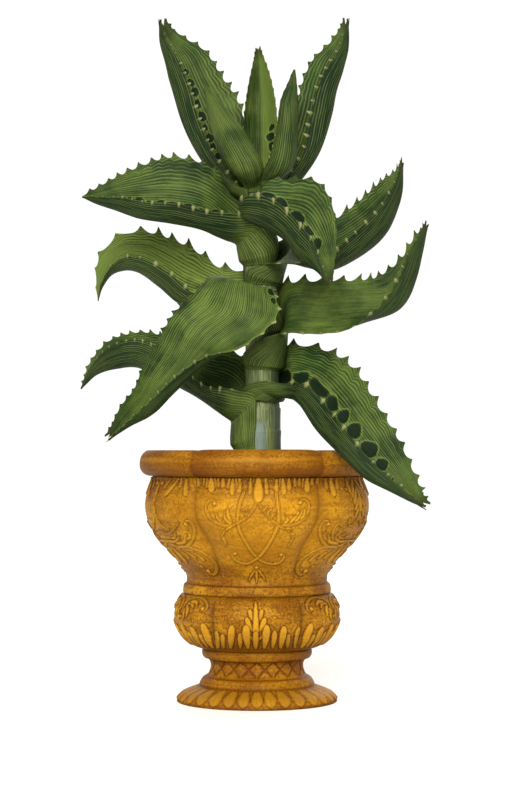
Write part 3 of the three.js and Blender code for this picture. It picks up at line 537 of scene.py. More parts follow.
def capped_faces(rows, columns):
    """Faces of a turned body whose first and last rows are each closed by a fan. The two
    points in the middle of the fans are stored after the rows."""
    ring = np.arange(columns)
    beside = (ring + 1) % columns
    floor_fan = np.stack([np.full(columns, rows * columns), beside, ring], 1)
    last = (rows - 1) * columns
    top_fan = np.stack([np.full(columns, rows * columns + 1), last + ring, last + beside], 1)
    return [grid_faces(rows, columns), floor_fan, top_fan]


def turned(angle, radius, height):
    """Points round the pot's axis: radius times the cosine and the sine of an angle in
    degrees from the front, and height."""
    beta = np.radians(angle - 90)
    points = np.stack([radius * np.cos(beta), radius * np.sin(beta), height], -1)
    return points.reshape(-1, 3)


# Ornament.

def stroke_shape(shape, first, last, share, gap):
    """The half width of a stroke at a share of the way along it: a power of a sine for a
    leaf, a rise and an elliptical end for a bud and a petal, a straight change for a band.
    Its height is a half ellipse across that width, with a fine groove along the middle."""
    if shape == "leaf":
        width = first * np.sin(np.pi * np.clip(share * 0.94 + 0.06, 0, 1) ** 0.8) ** 0.7
        width = np.maximum(width, last * (1 - share) + 0.05)
    elif shape == "petal":
        width = first * np.sqrt(np.clip(1 - (share - 0.1).clip(0) ** 2.2 * 1.25, 0.004, 1))
    elif shape == "bud":
        width = last + (1.12 * first - last) * np.sin(np.pi / 2 * (share / 0.72).clip(0, 1))
        width = width * np.sqrt(np.clip(1 - ((share - 0.72) / 0.28).clip(0, 1) ** 2.2, 0.002, 1))
    else:
        width = first + (last - first) * share
    height = np.sqrt(np.clip(1 - (gap / width) ** 2, 0, 1))
    if shape != "bead":
        height = height * (1 - 0.3 * np.exp(-(gap / (0.22 * width + 0.15)) ** 2))
    return width, height


def raise_strokes(strokes, across, up, outline_length):
    """The height of the ornament over the wall, and how strong the painted shade beside it is:
    an exponential of the squared distance from the stroke's edge. Each point takes its
    nearest place on a stroke's middle line, and later strokes lie over earlier ones. across
    and up place each point on the flattened wall; outline_length turns heights into the same
    measure as up."""
    height = np.zeros_like(across)
    beside = np.zeros_like(across)
    for shape, first, last, rise, points in strokes:
        middle = curve_through(points)
        line = np.stack([middle[:, 0], outline_length(middle[:, 1])], 1)
        reach = max(first, last) + 4
        low, high = line.min(0) - reach, line.max(0) + reach
        inside = ((across > low[0]) & (across < high[0]) & (up > low[1]) & (up < high[1]))
        if not inside.any():
            continue
        spot = np.stack([across[inside], up[inside]], 1)
        if len(line) == 1:
            gap = np.linalg.norm(spot - line[0], axis=1)
            share = np.zeros(len(spot))
        else:
            start, step = line[:-1], np.diff(line, axis=0)
            length = np.linalg.norm(step, axis=1)
            offset = spot[:, None] - start[None]
            t = np.clip((offset * step).sum(2) / length**2, 0, 1)
            gaps = np.linalg.norm(offset - t[..., None] * step, axis=2)
            found = gaps.argmin(1)
            rows = np.arange(len(spot))
            gap = gaps[rows, found]
            travelled = np.r_[0, np.cumsum(length)]
            share = (travelled[found] + t[rows, found] * length[found]) / travelled[-1]
        width, form = stroke_shape(shape, first, last, share, gap)
        edge = np.exp(-((gap - width).clip(0) / RELIEF_SHADE_WIDTH) ** 2)
        covered = gap < width
        height[inside] = np.where(covered, np.maximum(0.6 * height[inside], rise * form),
                                  height[inside])
        # Painted shade along the middle of a band.
        groove = STRAP_SHADE * np.exp(-(gap / (0.38 * width)) ** 2) if shape == "band" else 0
        beside[inside] = np.where(covered, groove, np.maximum(beside[inside], edge))
    return height, beside


def seam_angle(height):
    """The half angle of the front lobe, by straight steps between stated heights: it narrows
    below the belly and widens at the waist."""
    return np.interp(height, [110, 125, 157, 185], [33.0, 31.0, 28.0, 33.5])


def lobes(angle, height):
    """For each point of the wall, the angle from the middle of its lobe, that lobe's half
    angle and whether it is one of the four side lobes. angle is in degrees from the front."""
    folded = np.abs((angle + 180) % 360 - 180)
    from_end = np.minimum(folded, 180 - folded)
    seam = seam_angle(height)
    side = from_end > seam
    half = np.where(side, (90 - seam) / 2, seam)
    middle = np.where(side, 90 - half, 0.0)
    return from_end - middle, half, side


def wall_piece(name, curves, seams, painted_shade, front, left, right):
    """A closed ring of the pot's wall. The outside is the turned outline, less the seam's
    depth times the fourth power of the share of the half lobe, plus the ornament; the inside
    is a plain turned surface one wall behind it. The two height tables give, by height, the depth
    of the seams and how dark the painted shade is. front, left and right are the strokes on
    the lobes of each side; the back repeats the front."""
    radius, height, travelled = profile_rows(curves)
    angle = np.arange(WALL_COLUMNS) * 360.0 / WALL_COLUMNS
    z, r, up = (np.repeat(values[:, None], WALL_COLUMNS, 1)
                for values in (height, radius, travelled))
    theta = np.repeat(angle[None, :], len(height), 0)
    offset, half, is_side = lobes(theta, z)
    order = np.argsort(height, kind="stable")

    def outline_length(heights):
        """The distance along the outline at each height."""
        return np.interp(heights, height[order], travelled[order])

    depth = np.interp(z, *seams)
    across = np.abs(offset) / half
    surface = r - depth * across**4
    arc = np.pi / 180 * r
    seam_gap = (half - np.abs(offset)) * arc
    crease = np.exp(-(seam_gap / SEAM_WIDTH) ** 2) * np.clip(depth / 3, 0, 1)
    relief = np.zeros_like(r)
    outline = np.zeros_like(r)
    from_front = (theta + 180) % 360 - 180
    from_back = (theta + 360) % 360 - 180
    folded = np.abs(from_front)
    from_middle = np.abs(np.minimum(folded, 180 - folded) - SIDE_LOBE_MIDDLE)
    on_side = is_side | (half - np.abs(offset) < 3)
    for strokes, turn, here in (
            (front, from_front, np.abs(from_front) < FRONT_REACH),
            (front, from_back, np.abs(from_back) < FRONT_REACH),
            (left, from_middle, on_side & (from_front < 0)),
            (right, from_middle, on_side & (from_front > 0))):
        made = raise_strokes(strokes, turn[here] * arc[here], up[here], outline_length)
        relief[here] = np.maximum(relief[here], made[0])
        outline[here] = np.maximum(outline[here], made[1])
    relief = relief + line_under_rim(z)
    surface = surface + relief - LINE_GROOVE * outline - CREASE_GROOVE * crease
    # Painted shade: in the seams and the valleys beside them, beside the creases and ends of the
    # outline, and by height from the table of painted shade.
    valley = 0.6 * np.clip(depth / 4, 0, 1) * across.clip(0, 1) ** 5
    hollow = np.maximum(crease * 0.25 + valley, crease_shade(curves, height, travelled)[:, None])
    hollow = np.maximum(hollow, np.interp(z, *painted_shade))
    inside_z = np.linspace(height[-1], height[0], 8)
    inside_r = np.interp(inside_z, height[order], radius[order]) - WALL
    all_r = np.vstack([surface, np.repeat(inside_r[:, None], WALL_COLUMNS, 1)])
    all_z = np.vstack([z, np.repeat(inside_z[:, None], WALL_COLUMNS, 1)])
    spare = np.zeros(len(inside_z) * WALL_COLUMNS)
    # The relief mark carries the height of the relief, the painted shade beside the ornament and
    # the painted shade in hollows.
    marks = np.stack([np.r_[values.ravel(), spare] for values in (relief, outline, hollow)], 1)
    faces = grid_faces(len(all_r), WALL_COLUMNS, close_rows=True)
    make_piece(name, turned(angle, all_r, all_z), [faces], "pot", glaze,
               {"relief": marks})


def crease_shade(curves, height, travelled):
    """How dark the painted shade is beside each crease and end of the outline, row by row: an
    exponential of the squared distance along it."""
    shade = np.zeros(len(height))
    for curve in curves[:-1]:
        at = travelled[np.argmin(np.abs(height - curve[-1][1]))]
        shade = np.maximum(shade, np.exp(-((travelled - at) / 1.4) ** 2))
    for at in (travelled[0], travelled[-1]):
        shade = np.maximum(shade, np.exp(-((travelled - at) / 2.2) ** 2))
    return shade


def line_under_rim(z):
    """The height of a thin raised line round the top of the belly, bell-shaped across."""
    return RIM_LINE_HEIGHT * np.exp(-((z - RIM_LINE_LEVEL) / 0.7) ** 2)


def foot_ornament(theta, z, r):
    """The relief of the neck and the foot, and the painted shade beside it and in the trellis
    cuts. The trellis is two sets of slanting cuts, bell-shaped across. A drooping leaf is a half
    ellipse across a width that follows a sine down the foot, with a vein, before the tip of
    another behind."""
    pitch = 360.0 / TRELLIS_COUNT
    rise = (z - TRELLIS_LOW) / (TRELLIS_HIGH - TRELLIS_LOW)
    in_band = smooth_step(0.0, 0.05, rise) * smooth_step(0.0, 0.05, 1 - rise)
    cut = np.zeros_like(r)
    for lean in (1, -1):
        place = theta / pitch - lean * rise
        gap = np.abs(place - np.round(place)) * pitch * np.pi / 180 * r * 0.72
        cut = np.maximum(cut, np.exp(-(gap / TRELLIS_WIDTH) ** 2))
    cut = cut * in_band
    pitch = 360.0 / FOOT_LEAVES
    on_foot = z < FOOT_TOP - 0.2
    share = np.clip((FOOT_TOP - z) / FOOT_LEAF_LENGTH, 0, 1)
    width = 0.455 * np.sin(np.pi * np.clip(0.22 + 0.78 * share, 0, 1) ** 1.35) ** 0.75
    turn = np.radians(theta)
    place = theta / pitch + 0.09 * np.sin(5 * turn) + 0.12 * np.sin(3 * turn) * share
    gap = np.abs(place - np.round(place))
    front = np.sqrt(np.clip(1 - (gap / np.maximum(width, 0.02)) ** 2, 0, 1))
    vein = 1 - 0.35 * np.exp(-(gap / 0.035) ** 2)
    behind_gap = np.abs(place - 0.5 - np.round(place - 0.5))
    behind = 0.5 * np.sqrt(np.clip(1 - (behind_gap / np.maximum(width * 0.8, 0.02)) ** 2, 0, 1))
    leaf = np.maximum(front * vein, behind * 0.9) * smooth_step(0.0, 0.12, share)
    edge = np.exp(-((gap - width) * pitch * np.pi / 180 * r / 0.8) ** 2) * (gap > width)
    relief = np.where(on_foot, leaf * FOOT_LEAF_HEIGHT, 0) - TRELLIS_DEPTH * cut
    outline = np.where(on_foot, edge * (share > 0.03), 0)
    return relief, np.maximum(outline, cut)


def foot_piece():
    """The foot as one closed body: its outline turned round the axis, plus the relief of its
    ornament, with a flat underside and a flat top."""
    radius, height, travelled = profile_rows(FOOT_CURVES)
    angle = np.arange(FOOT_COLUMNS) * 360.0 / FOOT_COLUMNS
    z = np.repeat(height[:, None], FOOT_COLUMNS, 1)
    r = np.repeat(radius[:, None], FOOT_COLUMNS, 1)
    theta = np.repeat(angle[None, :], len(height), 0)
    relief, outline = foot_ornament(theta, z, r)
    surface = r + relief - LINE_GROOVE * outline * (relief >= 0)
    surface[0] = radius[0]
    all_r = np.vstack([surface[:1] * 0.02, surface[:1] * 0.6, surface, surface[-1:] * 0.5,
                       surface[-1:] * 0.02])
    all_z = np.vstack([z[:1], z[:1], z, z[-1:], z[-1:]])
    points = turned(angle, all_r, all_z)
    points = np.vstack([points, [0, 0, height[0]], [0, 0, height[-1]]])
    # Painted shade beside the creases and at the ends of the outline.
    hollow = np.repeat(crease_shade(FOOT_CURVES, height, travelled)[:, None], FOOT_COLUMNS, 1)
    flat = np.zeros((2, FOOT_COLUMNS))
    marks = np.stack([np.vstack([flat, values, flat]).ravel()
                      for values in (relief, outline, hollow)], 1)
    marks = np.vstack([marks, np.zeros((2, 3))])
    make_piece("pot_foot", points, capped_faces(len(all_r), FOOT_COLUMNS), "pot",
               glaze, {"relief": marks})


def rim_piece():
    """The rolled rim: one closed ring. Its round section is drawn in towards its centre by
    the twelfth power of the share of the half lobe, so it swells over each lobe and closes
    down at the seams. The front and back rolls are fuller than the side ones."""
    steps = 6
    line = curve_through(RIM_LOOP + RIM_LOOP[:3], steps)
    section = line[steps:steps * (len(RIM_LOOP) + 1)]
    angle = np.arange(RIM_COLUMNS) * 360.0 / RIM_COLUMNS
    offset, half, is_side = lobes(angle[None, :], np.full((1, RIM_COLUMNS), RIM_SEAM_LEVEL))
    across = np.abs(offset) / half
    swell = np.where(is_side, 1.0, 1.05) - np.where(is_side, 0.05, 0.2) * across**12
    outer = section[:, :1] > RIM_INSIDE
    widened = np.where(outer, swell, 1)
    raised = np.where(outer, 1 - (1 - swell) * 0.8, 1)
    r = RIM_CENTRE[0] + (section[:, :1] - RIM_CENTRE[0]) * widened
    z = np.minimum(RIM_CENTRE[1] + (section[:, 1:] - RIM_CENTRE[1]) * raised, RIM_TOP)
    seam_gap = (half - np.abs(offset)) * np.pi / 180 * r
    crease = np.exp(-(seam_gap / SEAM_WIDTH) ** 2)
    # Painted shade over the lower half of the roll, towards the ends of the front and back rolls,
    # over the middles of the side rolls and beside the seams, less along a painted highlight band.
    low = 0.45 * smooth_step(240, 229, z)
    painted_highlight_band = 0.3 * np.exp(-((z - 243) / 3.0) ** 2)
    ends = np.where(is_side, 0.35 * (1 - across) ** 2, 0.1 + 0.7 * across**3)
    shaded = np.clip(np.maximum(crease * 0.4, low + ends) - painted_highlight_band, 0, 1)
    # A painted highlight along the upper face of the roll, handed on as raised work.
    shine = 1.5 * np.exp(-((z - 241) / 3.5) ** 2) * (1 - 0.9 * across**2)
    marks = np.stack([shine.ravel(), np.zeros(r.size), shaded.ravel()], 1)
    faces = grid_faces(len(section), RIM_COLUMNS, close_rows=True)
    make_piece("pot_rim", turned(angle, r, z), [faces], "pot", glaze,
               {"relief": marks})


def value_noise(x, y, seed):
    """Smooth noise from -1 to 1: cosine-blended values at the corners of a unit grid."""
    corner = np.random.default_rng(seed).uniform(-1, 1, (64, 64))
    i, j = np.floor(x).astype(int), np.floor(y).astype(int)
    s = smooth_step(0, 1, x - i)
    t = smooth_step(0, 1, y - j)
    a, b = corner[i % 64, j % 64], corner[(i + 1) % 64, j % 64]
    c, d = corner[i % 64, (j + 1) % 64], corner[(i + 1) % 64, (j + 1) % 64]
    return (a * (1 - s) + b * s) * (1 - t) + (c * (1 - s) + d * s) * t


def soil_piece():
    """The fill of the pot: sides that follow the cavity, and a top that rises towards the
    stem by a power of 0.8 of the way in, under three layers of noise for crumbs."""
    top = [(100.8 - 1.35 * k, SOIL_EDGE + SOIL_RISE * (k / 60) ** 0.8) for k in range(61)]
    outline = np.array([(1.0, SOIL_SIDES[0][1])] + SOIL_SIDES + top)
    angle = np.arange(SOIL_COLUMNS) * 2 * np.pi / SOIL_COLUMNS
    x = outline[:, :1] * np.cos(angle)
    y = outline[:, :1] * np.sin(angle)
    crumbs = (1.1 * value_noise(x / 5, y / 5, 3) + 0.8 * value_noise(x / 2.1, y / 2.1, 5)
              + 0.5 * np.abs(value_noise(x / 9, y / 9, 8)))
    first = len(SOIL_SIDES)
    on_top = smooth_step(first, first + 3, np.arange(len(outline)))[:, None]
    points = np.stack([x, y, outline[:, 1:] + crumbs * on_top], -1).reshape(-1, 3)
    points = np.vstack([points, [0, 0, SOIL_SIDES[0][1]], [0, 0, top[-1][1]]])
    make_piece("soil_fill", points, capped_faces(len(outline), SOIL_COLUMNS), "soil",
               earth)


def stem_piece():
    """The stem: circles whose radius and centre follow tables by height, plus a low ledge
    that dies away exponentially below each leaf scar, plus ribs of noise round the stem."""
    height = np.arange(STEM[0, 0], STEM[-1, 0] + 0.1, STEM_STEP)
    radius = np.interp(height, STEM[:, 0], STEM[:, 1])
    drift = np.interp(height, STEM[:, 0], STEM[:, 2])
    for scar in LEAF_SCARS:
        radius = radius + 0.9 * np.exp(-np.clip(scar - height, 0, None) / 7) * (height <= scar)
    angle = np.arange(STEM_COLUMNS) * 2 * np.pi / STEM_COLUMNS
    ribs = 0.22 * value_noise(angle[None, :] * 16, height[:, None] / 45, 11)
    r = radius[:, None] + ribs
    x = drift[:, None] + r * np.cos(angle)
    z = height[:, None] + 0 * x
    points = np.stack([x, r * np.sin(angle), z], -1).reshape(-1, 3)
    points = np.vstack([points, [drift[0], 0, height[0]], [drift[-1], 0, height[-1] + 2]])
    make_piece("stem_trunk", points, capped_faces(len(height), STEM_COLUMNS), "stem",
               bark)


# Leaves.

def sheath_section(turn, row, across):
    """An arc round the stem from the left margin to the right. Its height is that of the
    keel, changed by the square of the place across to that of the margins."""
    wrap, keel, left, right, flare = row
    margin = np.where(across < 0, left, right)
    z = keel + (margin - keel) * across**2
    angle = np.radians(turn - across * wrap)
    r = np.interp(z, STEM[:, 0], STEM[:, 1]) + 0.4 + flare
    x = np.interp(z, STEM[:, 0], STEM[:, 2]) + r * np.cos(angle)
    return np.stack([x, r * np.sin(angle), z], -1)


def swung(point, swing):
    """A point of a blade carried back by swing times its reach past the stem."""
    x, y, z = point
    return np.array([x, y + swing * max(abs(x) - STEM[0, 1], 0), z], float)


def leaf_sections(leaf, across):
    """Cross-sections of a leaf: three for each stretch of the sheath, the parabola through
    margins and keel for each blade row, then the tip. Also the index of the last on the
    sheath."""
    sheath = np.array(leaf["sheath"], float)
    last = len(sheath) - 1
    rows = []
    for place in np.linspace(0, last, last * 3 + 1):
        row = [np.interp(place, range(last + 1), sheath[:, k]) for k in range(5)]
        rows.append(sheath_section(leaf["turn"], row, across))
    collar = len(rows) - 1
    swing = leaf.get("swing", 0)
    v = across[:, None]
    for row in leaf["blade"]:
        left, keel, right = (swung(point, swing) for point in row)
        rows.append(keel + (right - left) / 2 * v + ((left + right) / 2 - keel) * v**2)
    end = rows[-1]
    spread = WORN_TIP_SPREAD if leaf["fray"] else TIP_SPREAD
    rows.append(swung(leaf["tip"], swing) + (end - end[len(end) // 2]) * spread)
    return np.array(rows), collar


def rails(rows):
    """Hermite curves through the cross-sections, whose slopes are weighted means of those on
    either side, at even steps: the points, their distances along the leaf and those of the
    cross-sections."""
    step = np.linalg.norm(np.diff(rows, axis=0), axis=2).mean(1)
    knots = np.r_[0, np.cumsum(step)]
    rise = np.diff(rows, axis=0) / step[:, None, None]
    slope = np.empty_like(rows)
    before, after = step[:-1, None, None], step[1:, None, None]
    slope[1:-1] = (rise[:-1] * after + rise[1:] * before) / (before + after)
    slope[0], slope[-1] = rise[0], rise[-1]
    marks = np.linspace(0, knots[-1], int(knots[-1] / LEAF_STEP) + 1)
    i = np.clip(np.searchsorted(knots, marks, side="right") - 1, 0, len(step) - 1)
    span = step[i][:, None, None]
    t = ((marks - knots[i]) / step[i])[:, None, None]
    points = ((2 * t**3 - 3 * t**2 + 1) * rows[i] + (t**3 - 2 * t**2 + t) * span * slope[i]
              + (3 * t**2 - 2 * t**3) * rows[i + 1] + (t**3 - t**2) * span * slope[i + 1])
    return points, marks, knots


def tooth_places(start, length, chance, fray, pitch, height):
    """Distances and heights of the teeth on one margin: the pitch closes up towards the
    tip, and a worn tip ends in a fringe of short ones."""
    places, heights = [], []
    at = start + pitch * chance.uniform(0.2, 0.6)
    stop = length - (12 if fray else 5)
    while at < stop:
        share = (at - start) / (length - start)
        places.append(at)
        ramp = np.clip((at - start) / 26, 0.35, 1)
        heights.append(height * ramp * (1 - 0.35 * share**2) * chance.uniform(0.8, 1.15))
        at += pitch * (1 - 0.4 * share**1.5) * chance.uniform(0.84, 1.14)
    if fray:
        for k in range(3):
            places.append(length - 9.5 + 4 * k)
            heights.append(chance.uniform(2.0, 4.0))
    return np.array(places), np.array(heights)


def pit_value(leaf, marks, base, length, within, inward):
    """0 in the middle of a pit between two near teeth and 1 at its edge, a rounded square
    measured by powers of the shares along and across it. For each point, marks is the
    distance along the leaf of the margin beside it, within the place in the gap from -1 to
    1, and inward the distance from the margin."""
    first, last, width, strip = leaf["pits"]
    share = (marks - base) / (length - base)
    size = smooth_step(first, first + 0.1, share) * (1 - smooth_step(last - 0.15, last, share))
    uneven = size * (0.88 + 0.14 * np.sin(marks * 0.23))
    half = (width / 2 * uneven).clip(0.4)
    long = within / (0.98 * uneven.clip(0.05))
    deep = (inward - strip - half) / half
    value = np.abs(long) ** PIT_ROUNDNESS + np.abs(deep) ** PIT_ROUNDNESS
    return value ** (1 / PIT_ROUNDNESS) + 2 * (size < 0.05)


def tooth_profile(marks, places, heights, start):
    """How far a margin stands out at each distance: the height of a tooth times a power of
    2.4 of the share of the half gap that is left, so a cusp falls away in a hollow. Also the
    place within the gap, from -1 at one tooth to 1 at the next."""
    edges = np.r_[2 * start - places[0], places, 2 * places[-1] - places[-2]]
    i = np.clip(np.searchsorted(edges, marks) - 1, 0, len(edges) - 2)
    into = (marks - edges[i]) / (edges[i + 1] - edges[i])
    tall = np.r_[0, heights, 0]
    reach_low = tall[i] * np.clip(1 - into / 0.5, 0, 1) ** 2.4
    reach_high = tall[i + 1] * np.clip(1 - (1 - into) / 0.5, 0, 1) ** 2.4
    return np.maximum(reach_low, reach_high), into * 2 - 1


def beside_margin(inner, column):
    """For each point of the inner face, the row of one margin nearest to it in the front
    view, and its distance from there, counted towards the other margin."""
    seen = inner[..., [0, 2]]
    edge = seen[:, column]
    gaps = np.linalg.norm(seen[:, :, None] - edge, axis=3)
    nearest = gaps.argmin(2)
    along = np.gradient(edge, axis=0)
    square = np.stack([-along[:, 1], along[:, 0]], 1)[nearest]
    side = np.sign((square * (seen - edge[nearest])).sum(2))
    return nearest, gaps.min(2) * side * side[len(inner) // 2, -1 if column == 0 else 0]


def unit(vectors):
    """Vectors divided by their lengths."""
    return vectors / np.maximum(np.linalg.norm(vectors, axis=2, keepdims=True), 1e-9)


def leaf_piece(leaf, seed):
    """A leaf as one closed surface: the inner face from the rails, margins that run out into
    teeth, and the outer face a thickness behind. The thickness is that of the margin, plus
    the rest of the middle's times one less a power of the place across."""
    chance = np.random.default_rng(seed)
    flesh = leaf.get("flesh", FLESH)
    columns = LEAF_COLUMNS if flesh > 5 else SMALL_LEAF_COLUMNS
    across = np.sin(np.linspace(-np.pi / 2, np.pi / 2, columns))
    rows, collar = leaf_sections(leaf, across)
    inner, marks, knots = rails(rows)
    base, length = knots[collar], knots[-1]
    along = np.gradient(inner, axis=0)
    side = np.gradient(inner, axis=1)
    normal = unit(np.cross(side, along))
    forward = unit(along)
    outward = unit(side)
    half_width = np.linalg.norm(np.diff(inner, axis=1), axis=2).sum(1) / 2

    grown = np.clip((marks - base) / BLADE_BLEND, 0, 1)[:, None]
    taper = np.clip((length - marks) / TIP_TAPER, 0.02, 1)[:, None] ** 0.7
    feather = np.clip(marks / FOOT_TAPER, 0.25, 1)[:, None]
    middle = (SHEATH_SKIN * (1 - grown) + flesh * grown) * taper * feather
    edge = MARGIN * feather
    power = 8 * (1 - grown) + 2.4 * grown
    thick = edge + np.maximum(middle - edge, 0) * (1 - np.abs(across)[None, :] ** power)

    tooth = np.zeros(inner.shape[:2])
    pale_tooth = np.zeros(inner.shape[:2])
    hollow = np.full(inner.shape[:2], 3.0)
    strip = np.zeros(inner.shape[:2])
    stretch = np.zeros(inner.shape[:2])
    moved = inner.copy()
    for sign in (-1, 1):
        is_near = sign == leaf["near"]
        pitch, height = leaf["near_teeth"] if is_near else leaf["far_teeth"]
        places, heights = tooth_places(base, length, chance, leaf["fray"], pitch, height)
        reach, within = tooth_profile(marks, places, heights, base)
        reach = reach * (marks > base - 6)
        weight = np.clip((sign * across - TOOTH_BAND) / (1 - TOOTH_BAND), 0, 1) ** 1.3
        push = reach[:, None] * weight[None, :]
        edge_column = 0 if sign < 0 else -1
        out = outward[:, edge_column][:, None] * sign
        ahead = forward[:, edge_column][:, None]
        moved += push[..., None] * (out + TOOTH_LEAN * ahead + TOOTH_RISE * normal)
        stretch += sign * push
        tooth = np.maximum(tooth, push / max(height, 1))
        if is_near:
            pale_tooth = push / max(height, 1)
            if "pits" in leaf:
                beside, inward = beside_margin(inner, edge_column)
                hollow = pit_value(leaf, marks[beside], base, length, within[beside], inward)
                strip = smooth_step(leaf["pits"][3] + 1.5, leaf["pits"][3] - 0.5, inward)
                strip = strip * (inward > -2)
    if "panel" in leaf:
        strip = smooth_step(leaf["panel"], leaf["panel"] + 0.15, across)[None, :] + 0 * strip
    sunk = np.clip((1.05 - hollow) / 0.4, 0, 1) * PIT_DEPTH * np.clip(thick / 4, 0, 1)
    moved -= sunk[..., None] * normal
    thin = 1 - 0.6 * np.clip(tooth * 1.4, 0, 1)
    outer = moved - (thick * thin - sunk)[..., None] * normal
    if leaf["fray"]:
        worn = np.interp(across, np.linspace(-1, 1, len(FRAY_PATTERN)), FRAY_PATTERN)
        pull = smooth_step(length - 9, length, marks)[:, None] * worn[None, :] * leaf["fray"]
        moved += pull[..., None] * forward[-4, columns // 2]
        outer += pull[..., None] * forward[-4, columns // 2]

    rings = np.concatenate([moved, outer[:, ::-1]], axis=1)
    total, count = rings.shape[:2]
    k = np.arange(columns - 1)
    opposite = count - 1 - k
    near_cap = np.stack([k, opposite, opposite - 1, k + 1], 1)
    far = (total - 1) * count
    far_cap = np.stack([far + k, far + k + 1, far + opposite - 1, far + opposite], 1)

    def on_both(*values):
        """Vectors at the points of both faces, each value a grid, a column or a number."""
        grids = [np.broadcast_to(value, (total, columns)) for value in values]
        return np.stack([np.concatenate([grid, grid[:, ::-1]], 1).ravel() for grid in grids], 1)

    distance = marks[:, None]
    widest = half_width.max() / half_width[:, None]
    line_across = (across[None, :] * half_width[:, None] + stretch) * widest
    place = on_both(line_across, distance, 0.0)
    place[:, 2] = np.tile(np.repeat([0.0, leaf.get("back", 1.0)], columns), total)
    make_piece(leaf["name"] + "_skin", rings.reshape(-1, 3),
               [grid_faces(total, count), near_cap, far_cap], leaf["name"], skin,
               {"place": place, "detail": on_both(tooth, hollow, pale_tooth),
                "ends": on_both(length - distance, distance - base, float(leaf["fray"] > 0)),
                "kind": on_both(leaf["tone"], strip, 0.0)})


# Materials.

def shade(red, green, blue):
    """A colour from display values of 0 to 255."""
    def linear(value):
        """The light of a display value: a straight foot, then a power of 2.4."""
        value = value / 255
        return value / 12.92 if value <= 0.04045 else ((value + 0.055) / 1.055) ** 2.4
    return (linear(red), linear(green), linear(blue), 1.0)


LEAF_DARK = shade(24, 40, 16)
LEAF_MIDDLE = shade(46, 68, 26)
LEAF_LIGHT = shade(96, 114, 48)
LEAF_PALE = shade(124, 138, 68)
LEAF_STALK = shade(92, 102, 46)
LEAF_LINE = shade(12, 26, 12)
LEAF_BACK_SHADE = shade(18, 34, 16)
LEAF_PIT_SHADOW = shade(10, 24, 13)
THORN_DARK = shade(46, 50, 24)
THORN_PALE = shade(132, 134, 88)
GLAZE_DARK = shade(118, 70, 4)
GLAZE_GOLD = shade(170, 118, 16)
GLAZE_STROKE = shade(96, 56, 5)
GLAZE_SPECK = shade(84, 48, 5)
GLAZE_GRAIN = shade(188, 142, 34)
GLAZE_HOLLOW_SHADE = shade(74, 36, 2)
GLAZE_RAISED_HIGHLIGHT = shade(194, 142, 32)
GLAZE_RELIEF_SHADE = shade(60, 28, 2)
GLAZE_FOOT_RIM_SHADE = shade(98, 50, 0)
GLAZE_BELLY_HIGHLIGHT = shade(206, 146, 26)
SOIL_DARK = shade(38, 27, 18)
SOIL_PALE = shade(84, 62, 42)
SOIL_LUMP = shade(58, 42, 28)
SOIL_GRIT = shade(132, 112, 84)
BARK_DARK = shade(62, 74, 36)
BARK_PALE = shade(100, 110, 56)
BARK_GROOVE = shade(30, 40, 20)
BARK_STREAK = shade(132, 140, 82)
BARK_BLOOM = shade(98, 112, 108)
BARK_SHADE = shade(30, 42, 20)

# The named vectors that the leaves and the pot carry at their points, and what a group that
# makes a whole surface gives.
LEAF_MARKS = ("Place", "Detail", "Ends", "Kind")
GLAZE_MARKS = ("Relief",)
SURFACE = {"Colour": "Color", "Height": "Float", "Roughness": "Float"}


class Shader:
    """A shader tree with short calls for the nodes that repeat. Wherever a node takes a
    value, it may be a number, a colour or the socket of another node."""

    def __init__(self, tree):
        """Keep the tree that the nodes go into."""
        self.tree = tree

    def put(self, value, socket):
        """Give a value to an input."""
        if isinstance(value, bpy.types.NodeSocket):
            self.tree.links.new(value, socket)
        else:
            socket.default_value = value

    def node(self, kind, inputs=None, **settings):
        """A node with its settings and inputs."""
        made = self.tree.nodes.new(kind)
        for name, value in settings.items():
            setattr(made, name, value)
        for socket, value in (inputs or {}).items():
            self.put(value, made.inputs[socket])
        return made

    def maths(self, operation, *values, clamp=False):
        """One step of arithmetic."""
        made = self.node("ShaderNodeMath", dict(enumerate(values)), operation=operation,
                         use_clamp=clamp)
        return made.outputs[0]

    def times(self, *values):
        """The product of all the values."""
        product = values[0]
        for value in values[1:]:
            product = self.maths("MULTIPLY", product, value)
        return product

    def between(self, value, low, high):
        """0 at low, 1 at high, smooth and clamped."""
        made = self.node("ShaderNodeMapRange", {0: value, 1: low, 2: high, 3: 0.0, 4: 1.0},
                         interpolation_type="SMOOTHSTEP")
        return made.outputs[0]

    def speckle(self, place, scale, detail, roughness, low=0.0, high=1.0):
        """The value and the mask of the speckle group, placed with its own values."""
        made = self.node("ShaderNodeGroup", {"Place": place, "Scale": scale, "Detail": detail,
                                             "Roughness": roughness, "Low": low, "High": high},
                         node_tree=speckle)
        return made.outputs["Value"], made.outputs["Mask"]

    def parts(self, vector):
        """The three numbers of a vector."""
        return tuple(self.node("ShaderNodeSeparateXYZ", {0: vector}).outputs)

    def object_place(self):
        """The place on the object, in metres."""
        return self.node("ShaderNodeTexCoord").outputs["Object"]

    def layered(self, body, layers):
        """A colour under each layer in turn. A layer is its own colour and then the values
        whose product is its strength."""
        for colour, *values in layers:
            made = self.node("ShaderNodeMix", {0: self.times(*values), 6: body, 7: colour},
                             data_type="RGBA")
            body = made.outputs[2]
        return body

    def finish(self, surface, colour, roughness, height, strength, distance, specular=0.5):
        """The colour, roughness, bump and shine of a surface."""
        bump = self.node("ShaderNodeBump", {"Height": height, "Strength": strength,
                                            "Distance": distance})
        self.put(colour, surface.inputs["Base Color"])
        self.put(roughness, surface.inputs["Roughness"])
        self.put(bump.outputs[0], surface.inputs["Normal"])
        self.put(specular, surface.inputs["Specular IOR Level"])


